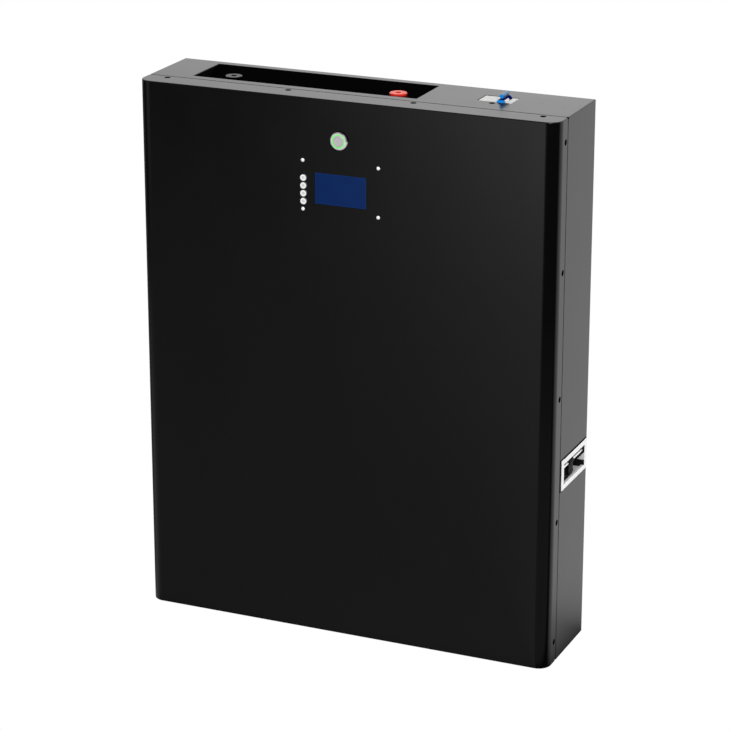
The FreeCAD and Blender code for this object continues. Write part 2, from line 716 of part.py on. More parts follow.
def terminal(name, x):
    """The moulded terminal column: base flange on the pocket floor, threaded boss below it."""
    top = "(pocket_depth - terminal_sink - insert_sink)"
    profile = [
        ("insert_radius + press_play", top),
        ("terminal_radius", top),
        ("terminal_radius", "terminal_foot"),
        ("terminal_base", "terminal_foot"),
        ("terminal_base", "0"),
        ("boss_radius", "0"),
        ("boss_radius", "-boss_length"),
        ("insert_radius + press_play", "-boss_length"),
    ]
    return turned(name, profile, x, "pocket_y", POCKET_FLOOR)


def terminal_collar(name, x):
    """The ring that closes the top of a terminal column round the mouth of its thread."""
    profile = [
        ("terminal_mouth", "-insert_sink"),
        ("terminal_mouth", "0"),
        ("terminal_radius - terminal_chamfer", "0"),
        ("terminal_radius", "-terminal_chamfer"),
        ("terminal_radius", "-insert_sink"),
    ]
    return turned(name, profile, x, "pocket_y", "case_height - terminal_sink")


def terminal_insert(name, x):
    """The brass insert: an M8 socket at the top and an M8 stud for the bar below."""
    top = "(pocket_depth - terminal_sink - insert_sink)"
    profile = [
        ("0", f"{top} - thread_depth - 2"),
        ("thread_radius", f"{top} - thread_depth"),
        ("thread_radius", top),
        ("insert_radius", top),
        ("insert_radius", "-boss_length - 1"),
        ("stud_radius", "-boss_length - 1"),
        ("stud_radius", "-stud_length"),
        ("0", "-stud_length"),
    ]
    return turned(name, profile, x, "pocket_y", POCKET_FLOOR)


def terminal_nuts():
    """For each terminal, a wide nut under the pocket floor and a small one under its bar."""
    under_floor = (f"{POCKET_FLOOR} - tray_sheet - nut_height", f"{POCKET_FLOOR} - tray_sheet")
    under_bar = ("bar_level - nut_height", "bar_level")
    nuts = []
    for x in terminal_places():
        for corner, bore, span in (
            ("terminal_nut", "boss_radius + run_play", under_floor),
            ("stud_nut", "stud_radius + run_play", under_bar),
        ):
            blank = hexagon("nut_blank", "z", corner, span, (x, "pocket_y"))
            nuts.append(cut("nut", blank, [rod("nut_bore", "z", bore, span, (x, "pocket_y"))]))
    return group("terminal_nuts", nuts)


def breaker_body():
    """The breaker's moulding: a nose that fills the window, wider shoulders, and a trough for the toggle."""
    nose = block(
        "breaker_nose",
        around("breaker_x", "nose_length"),
        around("breaker_y", "nose_width"),
        (f"{SHOULDER} - 1", NOSE_TOP),
    )
    shoulders = block(
        "breaker_shoulders",
        around("breaker_x", "breaker_length"),
        around("breaker_y", "nose_width"),
        (f"{SHOULDER} - breaker_height", SHOULDER),
    )
    trough = rod(
        "toggle_trough",
        "y",
        "drum_radius + drum_gap",
        around("breaker_y", "drum_length + window_play"),
        (TOGGLE_X, TOGGLE_Z),
    )
    pin_length = around("breaker_y", "nose_width + 2")
    pin_hole = rod("pin_hole", "y", "pin_radius + press_play", pin_length, (TOGGLE_X, TOGGLE_Z))
    pockets = [
        block(
            "clamp_pocket",
            around(f"breaker_x + {side} * breaker_length / 2", "2 * clamp_size + 2"),
            around("breaker_y", "clamp_depth + clamp_play"),
            around(CLAMP_LEVEL, "clamp_height + clamp_play"),
        )
        for side in (-1, 1)
    ]
    return cut("breaker_body", fuse("breaker_blank", [nose, shoulders]), [trough, pin_hole] + pockets)


def breaker_clamps():
    cages = []
    for side in (-1, 1):
        middle = f"breaker_x + {side} * (breaker_length - clamp_size - 1) / 2"
        cage = block(
            "clamp_cage",
            around(middle, "clamp_size"),
            around("breaker_y", "clamp_depth"),
            around(CLAMP_LEVEL, "clamp_height"),
        )
        mouth = block(
            "clamp_mouth",
            around(middle, "clamp_size + 2"),
            around("breaker_y", "bar_width + clamp_play"),
            around(CLAMP_LEVEL, "bar_thickness + clamp_play"),
        )
        cages.append(cut("clamp", cage, [mouth]))
    return group("breaker_clamps", cages)


def breaker_handle():
    drum = rod("toggle_drum", "y", "drum_radius", around("breaker_y", "drum_length"), (TOGGLE_X, TOGGLE_Z))
    finger = rod(
        "toggle_finger",
        "y",
        "bar_radius",
        around("breaker_y", "bar_length"),
        (TOGGLE_X, f"{TOGGLE_Z} + bar_rise"),
    )
    web = block(
        "toggle_web",
        around(TOGGLE_X, "toggle_web"),
        around("breaker_y", "bar_length - 2"),
        (TOGGLE_Z, f"{TOGGLE_Z} + bar_rise"),
    )
    pin_length = around("breaker_y", "nose_width")
    pin_bore = rod("toggle_bore", "y", "pin_radius + run_play", pin_length, (TOGGLE_X, TOGGLE_Z))
    return cut("breaker_handle", fuse("toggle_blank", [drum, web, finger]), [pin_bore])


def breaker_pin():
    length = around("breaker_y", "nose_width - 2 * screw_play")
    return rod("breaker_pin", "y", "pin_radius", length, (TOGGLE_X, TOGGLE_Z))


def breaker_bracket():
    """A folded hat section: a plate on the breaker's shoulders, hung from the top by two flanged legs."""
    plate = block(
        "bracket_plate",
        around("breaker_x", "nose_length + 16"),
        around("breaker_y", "bracket_pitch - 6"),
        (SHOULDER, f"{SHOULDER} + sheet"),
    )
    pieces = [plate]
    tools = [
        block(
            "bracket_window",
            around("breaker_x", "nose_length + window_play"),
            around("breaker_y", "nose_width + window_play"),
            around(SHOULDER, "6"),
        )
    ]
    width = around("breaker_x", "bracket_leg")
    for side in (-1, 1):
        leg_y = f"breaker_y + {side} * (bracket_pitch / 2 - leg_inset)"
        at = ("breaker_x", f"breaker_y + {side} * bracket_pitch / 2")
        pieces.append(block("bracket_riser", width, around(leg_y, "sheet"), (SHOULDER, INSIDE_TOP)))
        foot = around(at[1], "bracket_foot")
        pieces.append(block("bracket_foot", width, foot, (f"{INSIDE_TOP} - nut_depth", INSIDE_TOP)))
        tools.append(rod("bracket_thread", "z", "screw_shank + run_play", around(INSIDE_TOP, "9"), at))
    return cut("breaker_bracket", fuse("bracket_blank", pieces), tools)


def breaker_screws():
    screws = []
    for side in (-1, 1):
        at = ("breaker_x", f"breaker_y + {side} * bracket_pitch / 2")
        screws.append(sunk_screw("bracket_screw", "z", 1, "case_height", at))
    return group("breaker_screws", screws)


def button_housing():
    """The turned stainless bezel and its threaded barrel; heights run forward from the cover's face."""
    profile = [
        ("led_outer + run_play", "button_proud - led_depth"),
        ("led_outer + run_play", "button_proud"),
        ("button_radius - bezel_chamfer", "button_proud"),
        ("button_radius", "button_proud - bezel_chamfer"),
        ("button_radius", "gasket_sheet"),
        ("button_barrel", "gasket_sheet"),
        ("button_barrel", "-button_length"),
        ("led_inner", "-button_length"),
        ("led_inner", "button_proud - led_depth"),
    ]
    return turned("button_housing", profile, "button_x", FRONT, "button_z", facing_front=True)


def button_led_ring():
    profile = [
        ("led_inner", "button_proud - led_depth"),
        ("led_inner", "button_proud - led_sink"),
        ("led_outer", "button_proud - led_sink"),
        ("led_outer", "button_proud - led_depth"),
    ]
    return turned("button_led_ring", profile, "button_x", FRONT, "button_z", facing_front=True)


def button_cap():
    """The sliding cap, with a shallow dish in its face and a thin stem behind."""
    profile = [
        ("0", "button_proud - cap_dish"),
        ("cap_flat - 2 * cap_dish", "button_proud - cap_dish"),
        ("cap_flat", "button_proud"),
        ("cap_radius - 2 * cap_dish", "button_proud"),
        ("cap_radius", "button_proud - 2 * cap_dish"),
        ("cap_radius", "button_proud - cap_length"),
        ("stem_radius", "button_proud - cap_length"),
        ("stem_radius", "button_proud - stem_reach"),
        ("0", "button_proud - stem_reach"),
    ]
    return turned("button_cap", profile, "button_x", FRONT, "button_z", facing_front=True)


def button_gasket():
    profile = [
        ("button_barrel + 2 * run_play", "0"),
        ("button_barrel + 2 * run_play", "gasket_sheet"),
        ("button_radius + 3 * run_play", "gasket_sheet"),
        ("button_radius + 3 * run_play", "0"),
    ]
    return turned("button_gasket", profile, "button_x", FRONT, "button_z", facing_front=True)


def button_nut():
    span = (INSIDE_FRONT, f"{INSIDE_FRONT} + nut_depth")
    at = ("button_x", "button_z")
    blank = hexagon("button_nut_blank", "y", "button_nut_corner", span, at)
    return cut("button_nut", blank, [rod("button_nut_bore", "y", "button_barrel + run_play", span, at)])


def button_switch_block():
    """The contact block plugged on behind the barrel, with a well for the cap's stem."""
    at = ("button_x", "button_z")
    near = f"{FRONT} + button_length"
    shell = rod("switch_shell", "y", "switch_radius", (near, f"{near} + switch_length"), at)
    well = rod("switch_well", "y", "switch_well", (FRONT, f"{near} + switch_well"), at)
    return cut("button_switch_block", shell, [well])


def display_corners():
    columns = [f"display_screw_middle_x + {x} * display_screw_x / 2" for x in (-1, 1)]
    rows = [f"display_screw_middle_z + {z} * display_screw_z / 2" for z in (-1, 1)]
    return [(x, z) for x in columns for z in rows]


def display_lens():
    """The tinted window in its opening, with a wider flange glued behind the cover."""
    face = block(
        "lens_face",
        around("display_x", "display_width"),
        (f"{FRONT} + lens_sink", f"{INSIDE_FRONT} + 1"),
        around("display_z", "display_height"),
    )
    flange = block(
        "lens_flange",
        around("display_x", "display_width + 2 * lens_border"),
        (INSIDE_FRONT, f"{INSIDE_FRONT} + lens_flange"),
        around("display_z", "display_height + 2 * lens_border"),
    )
    return fuse("display_lens", [face, flange])


def lcd_module():
    return block(
        "lcd_module",
        around("display_x + module_offset", "display_width + 2 * module_border"),
        (f"{INSIDE_FRONT} + lens_flange + screw_play", f"{BOARD_FRONT} - screw_play"),
        around("display_z", "display_height + 2 * module_border"),
    )


def display_board():
    board = block(
        "display_board_blank",
        around("display_screw_middle_x", "display_screw_x + 2 * board_border"),
        (BOARD_FRONT, f"{BOARD_FRONT} + board_thickness"),
        around("display_screw_middle_z", "display_screw_z + 2 * board_border"),
    )
    through = around(BOARD_FRONT, "8")
    holes = [rod("board_hole", "y", "small_hole", through, corner) for corner in display_corners()]
    return cut("display_board", board, holes)


def display_standoffs():
    radii = ("standoff_radius", "small_shank + run_play")
    span = (INSIDE_FRONT, BOARD_FRONT)
    posts = [ring("standoff", "y", *radii, span, corner) for corner in display_corners()]
    return group("display_standoffs", posts)


def display_screws():
    """Small dome-headed screws through the cover, its standoffs and the board."""
    screws = []
    for x, z in display_corners():
        dome = document.addObject("Part::Sphere", "display_screw_dome")
        dome.setExpression("Radius", rule("display_dome"))
        place(dome, x, f"{FRONT} + dome_sink", z)
        front = block("dome_keep", around(x, "8"), (f"{FRONT} - 4", FRONT), around(z, "8"))
        head = document.addObject("Part::Common", "display_screw_head")
        head.Base = dome
        head.Tool = front
        span = (f"{FRONT} - screw_play", f"{BOARD_FRONT} + 4")
        shank = rod("display_screw_shank", "y", "small_shank", span, (x, z))
        screws.append(fuse("display_screw", [head, shank]))
    return group("display_screws", screws)


def key_cap(index):
    """A round key: a dished cap through the cover, a keeper flange behind it and a stem to its switch."""
    profile = [
        ("0", "key_proud - key_dish"),
        ("key_flat / 2", "key_proud - key_dish"),
        ("key_flat - 2 * key_dish", "key_proud"),
        ("key_flat", "key_proud"),
        ("key_radius - key_dish", "key_proud - key_dish"),
        ("key_radius", "key_proud - 3 * key_dish"),
        ("key_radius", "-sheet - key_gap"),
        ("key_pitch / 2 - key_gap", "-sheet - key_gap"),
        ("key_pitch / 2 - key_gap", "-sheet - key_gap - key_keeper"),
        ("key_stem", "-sheet - key_gap - key_keeper"),
        ("key_stem", "key_back"),
        ("0", "key_back"),
    ]
    height = f"key_top_z - {index} * key_pitch"
    return turned(f"key_cap_{index + 1}", profile, "key_x", FRONT, height, facing_front=True)


def key_switches():
    switches = []
    for index in range(KEY_COUNT):
        height = f"key_top_z - {index} * key_pitch"
        depth = (f"{BOARD_FRONT} - switch_rise", BOARD_FRONT)
        base = block("switch_base", around("key_x", "switch_size"), depth, around(height, "switch_size"))
        reach = (f"{BOARD_FRONT} - plunger_rise", BOARD_FRONT)
        plunger = rod("switch_plunger", "y", "plunger_radius", reach, ("key_x", height))
        switches.append(fuse("key_switch", [base, plunger]))
    return group("key_switches", switches)


def handle_pan(name, side):
    """A polished frame outside the case, clinched through its mouth to a deeper cup behind the case side."""
    span = out_from(side)
    frame = block(
        f"{name}_frame",
        span("0", "handle_plate"),
        around("handle_y", "handle_length"),
        around("handle_z", "handle_height"),
    )
    neck = block(
        f"{name}_neck",
        span("-sheet - 1", "0"),
        around("mouth_y", "mouth_length + 2 * cup_sheet"),
        ("mouth_low - cup_sheet", "mouth_high + cup_sheet"),
    )
    cup = block(
        f"{name}_cup",
        span("-cup_depth - cup_sheet", "-sheet"),
        around("mouth_y", "mouth_length + 2 * cup_sheet"),
        ("cup_low - cup_sheet", "mouth_high + cup_sheet"),
    )
    hollow = block(
        f"{name}_hollow",
        span("-cup_depth", "-sheet - cup_sheet"),
        around("mouth_y", "mouth_length"),
        ("cup_low", "mouth_high"),
    )
    mouth = block(
        f"{name}_mouth",
        span("-cup_depth", "handle_plate + 1"),
        around("mouth_y", "mouth_length"),
        ("mouth_low", "mouth_high"),
    )
    rod_hole = rod(
        f"{name}_rod_hole",
        "y",
        "rod_radius + press_play",
        around("mouth_y", "mouth_length + 4"),
        hinge_line(side),
    )
    return cut(name, fuse(f"{name}_blank", [frame, neck, cup]), [hollow, mouth, rod_hole])


def hinge_line(side):
    return f"{side} * (case_width / 2 - rod_inset)", "rod_z"


def handle_rod(name, side):
    return rod(name, "y", "rod_radius", around("mouth_y", "mouth_length + 2 * cup_sheet"), hinge_line(side))


def handle_grip(name, side):
    """The hinged grip: a knuckle on the rod, a web and a rounded lower edge, hanging at rest."""
    x, axis_z = hinge_line(side)
    width = around("grip_y", "grip_length")
    pieces = [
        rod(f"{name}_knuckle", "y", "knuckle_radius", width, (x, axis_z)),
        block(f"{name}_web", around(x, "grip_web"), width, (f"{axis_z} - bead_drop", axis_z)),
        rod(f"{name}_bead", "y", "bead_radius", width, (x, f"{axis_z} - bead_drop")),
    ]
    through = around("grip_y", "grip_length + 2")
    bore = rod(f"{name}_bore", "y", "rod_radius + 2 * run_play", through, (x, axis_z))
    return cut(name, fuse(f"{name}_blank", pieces), [bore])


def handle_pads():
    """Rubber edging along the back and ends of each cup, level with the lower edge of the mouth."""
    pads = []
    for side in (-1, 1):
        span = out_from(side)
        whole = block(
            "pad_blank",
            span("-cup_depth", "-sheet - cup_sheet"),
            around("mouth_y", "mouth_length"),
            ("pad_low", "pad_high"),
        )
        middle = block(
            "pad_middle",
            span("-cup_depth + pad_sheet", "0"),
            around("mouth_y", "mouth_length - 2 * pad_sheet"),
            ("pad_low - 1", "pad_high + 1"),
        )
        tabs = [
            block(
                "pad_tab",
                span("-sheet - cup_sheet - 1", "handle_plate - screw_play"),
                around(f"mouth_y + {end} * (mouth_length - pad_sheet) / 2", "pad_sheet"),
                ("mouth_low", "pad_high"),
            )
            for end in (-1, 1)
        ]
        pads.append(fuse("pad", [cut("pad_edging", whole, [middle])] + tabs))
    return group("handle_pads", pads)


def cell_middle(index):
    return f"{index - (CELL_COUNT - 1) / 2} * cell_pitch"


def cells(name, bottom):
    """One row of prismatic cells, each with its two terminal posts."""
    row_of_cells = []
    for index in range(CELL_COUNT):
        can = block(
            "cell_can",
            around(cell_middle(index), "cell_pitch - cell_gap"),
            around("cell_y", "cell_depth"),
            (bottom, f"{bottom} + cell_height"),
        )
        posts = [
            rod(
                "cell_post",
                "z",
                "post_radius",
                (f"{bottom} + cell_height - 1", f"{bottom} + cell_height + post_height"),
                (cell_middle(index), f"cell_y + {side} * post_offset"),
            )
            for side in (-1, 1)
        ]
        row_of_cells.append(fuse("cell", [can] + posts))
    return group(name, row_of_cells)


def busbars(name, bottom):
    """Straps that join the cells in series, by turns behind and in front."""
    level = f"{bottom} + cell_height + post_height"
    straps = []
    for index in range(CELL_COUNT - 1):
        side = 1 if index % 2 == 0 else -1
        straps.append(
            block(
                "strap",
                (f"{cell_middle(index)} - strap_overlap", f"{cell_middle(index + 1)} + strap_overlap"),
                around(f"cell_y + {side} * post_offset", "strap_width"),
                (level, f"{level} + strap"),
            )
        )
    return group(name, straps)


def sense_boards():
    """The cell-monitor boards that lie along the middle of each row."""
    boards = []
    for bottom in ("lower_cells_z", "upper_cells_z"):
        span = (f"{bottom} + cell_height", f"{bottom} + cell_height + board_thickness")
        plan = (around("0", "sense_length"), around("cell_y", "sense_width"))
        boards.append(block("sense_board", *plan, span))
    return group("sense_boards", boards)


def end_plates():
    plates = []
    for bottom in ("lower_cells_z", "upper_cells_z"):
        for side in (-1, 1):
            near = f"{side} * ({CELL_COUNT} * cell_pitch / 2)"
            far = f"{side} * ({CELL_COUNT} * cell_pitch / 2 + end_plate)"
            span = (near, far) if side > 0 else (far, near)
            height = (bottom, f"{bottom} + cell_height - 10")
            plates.append(block("end_plate", span, (f"{SEAM} - 3", "cell_y + cell_depth / 2 - 2"), height))
    return group("end_plates", plates)


def bottom_rails():
    return group(
        "bottom_rails",
        [
            block(
                "rail",
                around("0", "case_width - 20"),
                around(f"cell_y + {side} * rail_offset", "rail_width"),
                ("sheet", "lower_cells_z"),
            )
            for side in (-1, 1)
        ],
    )


def middle_shelf():
    """The shelf under the upper cells, with an upturned flange against each side of the case."""
    depth = (f"{SEAM} + lip_root + 2", f"{INSIDE_BACK} - 1")
    width = around("0", "case_width - 2 * sheet")
    pieces = [block("shelf_plate", width, depth, ("upper_cells_z - shelf_sheet", "upper_cells_z"))]
    for side in (-1, 1):
        upturn = ("upper_cells_z - shelf_sheet", "upper_cells_z + shelf_upturn")
        thick = out_from(side)("-sheet - flange_sheet", "-sheet")
        pieces.append(block("shelf_flange", thick, depth, upturn))
    return fuse("middle_shelf", pieces)


def parallel_links():
    """Strips up the front of the cells that join the ends of the two rows."""
    links = []
    strip_front = f"{INSIDE_FRONT} + 3"
    lower = "(lower_cells_z + cell_height + post_height)"
    for side in (-1, 1):
        width = around(f"{side} * {(CELL_COUNT - 1) / 2} * cell_pitch", "strap_width")
        rise = (lower, f"{POST_TOP_UPPER} + strap")
        pieces = [block("link_strip", width, (strip_front, f"{strip_front} + strap"), rise)]
        for level in (lower, POST_TOP_UPPER):
            foot = (strip_front, "cell_y - post_offset + post_reach")
            pieces.append(block("link_foot", width, foot, (level, f"{level} + strap")))
        links.append(fuse("link", pieces))
    return group("parallel_links", links)


def through_bars():
    """The length of a tool that drills the bars under the terminals."""
    return around("bar_level", "4 * bar_thickness")


def positive_output_bar():
    """From the breaker's inner clamp, down past the pocket and along to the positive terminal's stud."""
    start = "pocket_x + terminal_offset"
    knee = "pocket_x + pocket_length / 2 + 30"
    along = around("pocket_y", "bar_width")
    across = around("breaker_y", "bar_width")
    shelf = around(CLAMP_LEVEL, "bar_thickness")
    riser = (f"{knee} - bar_thickness", knee)
    tongue = (riser[0], "breaker_x - breaker_length / 2 + bar_reach")
    pieces = [
        block("output_run", (f"{start} - bar_reach", knee), along, ("bar_level", "bar_level + bar_thickness")),
        block("output_riser", riser, across, ("bar_level", shelf[1])),
        block("output_tongue", tongue, across, shelf),
    ]
    hole = rod("output_hole", "z", "stud_hole", through_bars(), (start, "pocket_y"))
    return cut("positive_output_bar", fuse("positive_output_blank", pieces), [hole])


def positive_input_bar():
    """From the last upper cell, up the right of the case to the breaker's outer clamp."""
    riser_x = "breaker_x + breaker_length / 2 + 34"
    width = around("breaker_y", "bar_width")
    foot_z = (f"{POST_TOP_UPPER} + strap", f"{POST_TOP_UPPER} + strap + bar_thickness")
    shelf = around(CLAMP_LEVEL, "bar_thickness")
    foot_y = ("cell_y - post_offset - post_reach", width[1])
    pieces = [
        block("input_tongue", ("breaker_x + breaker_length / 2 - bar_reach", riser_x), width, shelf),
        block("input_riser", (f"{riser_x} - bar_thickness", riser_x), width, (foot_z[0], shelf[1])),
        block("input_foot", (f"{riser_x} - bar_thickness", "case_width / 2 - bar_end"), foot_y, foot_z),
    ]
    return fuse("positive_input_bar", pieces)


LUG_X = around("-board_length / 2 + lug_inset", "strap_width")
BOARD_MIDDLE = "((board_low + board_high) / 2)"
SINK_FRONT = "(board_y + board_sheet + mosfet_height)"


def negative_output_bar():
    """From the control board up and along to the negative terminal's stud."""
    stud = "pocket_x - terminal_offset"
    level = ("bar_level", "bar_level + bar_thickness")
    pieces = [
        block("return_run", (f"{stud} - bar_reach", LUG_X[1]), around("pocket_y", "bar_width"), level),
        block("return_turn", LUG_X, ("pocket_y", "board_y"), level),
        block("return_lug", LUG_X, ("board_y - bar_thickness", "board_y"), ("bar_level - lug_drop", level[1])),
    ]
    hole = rod("return_hole", "z", "stud_hole", through_bars(), (stud, "pocket_y"))
    return cut("negative_output_bar", fuse("negative_output_blank", pieces), [hole])


def negative_input_bar():
    """From the first upper cell along the front of the row and back to the control board."""
    level = (f"{POST_TOP_UPPER} + strap", f"{POST_TOP_UPPER} + strap + bar_thickness")
    front = around("cell_y - post_offset", "2 * post_reach")
    rise = (level[0], "board_low + lug_rise")
    pieces = [
        block("battery_run", ("-case_width / 2 + bar_end", LUG_X[1]), front, level),
        block("battery_turn", LUG_X, (front[0], "board_y"), level),
        block("battery_lug", LUG_X, ("board_y - bar_thickness", "board_y"), rise),
    ]
    return fuse("negative_input_bar", pieces)


def board_corners():
    return [
        (f"{x} * board_screw_x / 2", f"{BOARD_MIDDLE} + {z} * board_screw_z / 2")
        for x in (-1, 1)
        for z in (-1, 1)
    ]


def bms_board():
    thick = ("board_y", "board_y + board_sheet")
    board = block("bms_blank", around("0", "board_length"), thick, ("board_low", "board_high"))
    through = around("board_y", "12")
    holes = [rod("bms_hole", "y", "post_hole", through, corner) for corner in board_corners()]
    return cut("bms_board", board, holes)


def bms_mosfets():
    """Two rows of power transistors between the control board and its heat sink."""
    packages = []
    depth = ("board_y + board_sheet", SINK_FRONT)
    for column in range(MOSFET_COLUMNS):
        middle = f"{column - (MOSFET_COLUMNS - 1) / 2} * mosfet_pitch"
        for row in (-1, 1):
            height = around(f"{BOARD_MIDDLE} + {row} * mosfet_rows / 2", "mosfet_length")
            packages.append(block("mosfet", around(middle, "mosfet_width"), depth, height))
    return group("bms_mosfets", packages)


def bms_heat_sink():
    height = around(BOARD_MIDDLE, "sink_height")
    plate = (SINK_FRONT, f"{SINK_FRONT} + sink_base")
    pieces = [block("sink_plate", around("0", "sink_length"), plate, height)]
    fins = (f"{SINK_FRONT} + sink_base - 1", f"{SINK_FRONT} + sink_base + fin_depth")
    for fin in range(FIN_COUNT):
        middle = f"{fin - (FIN_COUNT - 1) / 2} * fin_pitch"
        pieces.append(block("sink_fin", around(middle, "fin_sheet"), fins, height))
    return fuse("bms_heat_sink", pieces)


def bms_standoffs():
    span = ("board_y + board_sheet", INSIDE_BACK)
    spacers = [
        ring("bms_standoff", "y", "spacer_radius", "post_hole", span, corner) for corner in board_corners()
    ]
    return group("bms_standoffs", spacers)


nodes = [
    rear_case(),
    front_cover(),
    cover_screws(),
    cover_nuts(),
    wall_nuts(),
    terminal_tray(),
    terminal("negative_terminal", terminal_places()[0]),
    terminal("positive_terminal", terminal_places()[1]),
    terminal_collar("negative_collar", terminal_places()[0]),
    terminal_collar("positive_collar", terminal_places()[1]),
    terminal_insert("negative_insert", terminal_places()[0]),
    terminal_insert("positive_insert", terminal_places()[1]),
    terminal_nuts(),
    breaker_body(),
    breaker_handle(),
    breaker_pin(),
    breaker_clamps(),
    breaker_bracket(),
    breaker_screws(),
    button_housing(),
    button_led_ring(),
    button_cap(),
    button_gasket(),
    button_nut(),
    button_switch_block(),
    display_lens(),
    lcd_module(),
    display_board(),
    display_standoffs(),
    display_screws(),
    key_switches(),
    cells("cells_lower", "lower_cells_z"),
    cells("cells_upper", "upper_cells_z"),
    busbars("busbars_lower", "lower_cells_z"),
    busbars("busbars_upper", "upper_cells_z"),
    sense_boards(),
    end_plates(),
    bottom_rails(),
    middle_shelf(),
    parallel_links(),
    positive_output_bar(),
    positive_input_bar(),
    negative_output_bar(),
    negative_input_bar(),
    bms_board(),
    bms_mosfets(),
    bms_heat_sink(),
    bms_standoffs(),
]
nodes += [key_cap(index) for index in range(KEY_COUNT)]
for side_name, side_sign in (("right", 1), ("left", -1)):
    nodes.append(handle_pan(f"{side_name}_handle_pan", side_sign))
    nodes.append(handle_rod(f"{side_name}_handle_rod", side_sign))
    nodes.append(handle_grip(f"{side_name}_handle_grip", side_sign))
nodes.append(handle_pads())

document.recompute()
for item in document.Objects:
    if "Invalid" in item.State or "Error" in item.State:
        raise RuntimeError(f"{item.Name} did not recompute: {item.State}")
for node in nodes:
    if node.Shape.isNull() or not node.Shape.isValid():
        raise RuntimeError(f"{node.Label} has no valid shape")

os.makedirs("parts", exist_ok=True)
for node in nodes:
    node.Shape.exportStep(f"parts/{node.Label}.step")
    print(f"{node.Label}: {len(node.Shape.Solids)} solid(s), {node.Shape.Volume / 1000:.1f} cm3")
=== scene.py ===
import json
import math

import bmesh
import bpy
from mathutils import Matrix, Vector


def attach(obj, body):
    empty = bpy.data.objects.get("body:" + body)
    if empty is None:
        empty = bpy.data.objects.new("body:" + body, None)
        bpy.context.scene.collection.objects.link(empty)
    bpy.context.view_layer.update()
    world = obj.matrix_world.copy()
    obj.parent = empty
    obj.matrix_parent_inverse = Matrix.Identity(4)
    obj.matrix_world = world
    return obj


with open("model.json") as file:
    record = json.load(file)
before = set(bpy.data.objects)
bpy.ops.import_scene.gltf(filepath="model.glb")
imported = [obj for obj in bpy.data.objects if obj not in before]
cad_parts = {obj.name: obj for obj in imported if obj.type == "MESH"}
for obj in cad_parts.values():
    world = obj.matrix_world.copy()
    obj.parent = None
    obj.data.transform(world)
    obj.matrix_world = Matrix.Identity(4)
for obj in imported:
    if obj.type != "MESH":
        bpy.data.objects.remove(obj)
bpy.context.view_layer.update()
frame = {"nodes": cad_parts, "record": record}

# A slim black home battery with a sunk terminal pocket, a breaker, a lit power button, a small display and
# side handles, standing on a white studio sweep. The scene is in metres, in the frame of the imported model.

NODES = frame["nodes"]
MM = 0.001

# ---------------------------------------------------------------- places on the object, in millimetres
# Power button: its axis, and the radius at which the cap's plain middle ends.
BUTTON_X = -3
BUTTON_Z = 704.4
CAP_MIDDLE = 5.1

# Display: the middle and the size of its window inside the lighter blue border round its edge.
WINDOW_X = -2
WINDOW_Z = 636.6
WINDOW_WIDTH = 71
WINDOW_HEIGHT = 39.8

# Keys: the top one's axis, the step to the next and the radius of the painted shade in each key's dish.
KEY_X = -55
KEY_TOP_Z = 649.4
KEY_PITCH = 10.7
DISH_SHADE_RADIUS = 1.6

# Breaker's toggle: the underside of its bar, the front face of its drum with the height to which that face
# stays blue, below the painted shade, and the white sleeve round the drum's middle.
BAR_BOTTOM = 761.6
DRUM_FRONT = 6.6
DRUM_FACE_TOP = 760.2
SLEEVE_TOP = 760
SLEEVE_Y = 15.8
SLEEVE_HALF = 7.2

# Side handles: the face of the frame and how far behind it the grey and the near-black painted shade begin,
# the back of the cup, the mouth, and the slanting foot of the near-black painted shade.
FRAME_FACE = 301.5
WALLS_BEHIND = 0.45
SHADE_BEHIND = 0.4
CUP_BACK = 284.2
MOUTH_Y = 18.1
MOUTH_HALF = 41
SHADE_LEAN = 1.1
SHADE_FOOT = -61.5

# Black strip round a handle's frame, standing for the dark gap and its shadow: its depths, and its outer
# and inner outline as two y and two z.
STRIP_DEPTHS = (300, 300.5)
STRIP_OUTER = (-32.6, 67.4, 243.8, 289.4)
STRIP_INNER = (-30, 65, 246.3, 287.1)

# Sunk screws: the row round the cover, the pair beside the breaker, a counterbore's reach, the heights and
# depths between which the counterbores lie, how far the top and side rows run, and the sockets' floors.
SCREW_Y = -43.25
BREAKER_X = 183.5
BREAKER_Y = 20
BRACKET_REACH = 23.2
BORE_REACH = 4.3
BORES_ON_TOP = (755, 757.95)
BORES_ON_SIDES = (297, 299.95)
TOP_ROW_REACH = 290
SIDE_ROW_TOP = 740
SOCKET_TOP = 757.6
SOCKET_SIDE = 299.6
SOCKET_SLACK = 0.1


# ---------------------------------------------------------------- camera
def add_camera():
    data = bpy.data.cameras.new("camera")
    data.sensor_width = 36
    data.lens = 139.5
    data.clip_end = 100
    camera = bpy.data.objects.new("camera", data)
    camera.location = (1.46638, -3.34832, 1.63591)
    tilt_down = 19.072
    turn_left = 23.619
    camera.rotation_euler = (math.radians(90 - tilt_down), 0, math.radians(turn_left))
    bpy.context.scene.collection.objects.link(camera)
    bpy.context.scene.camera = camera


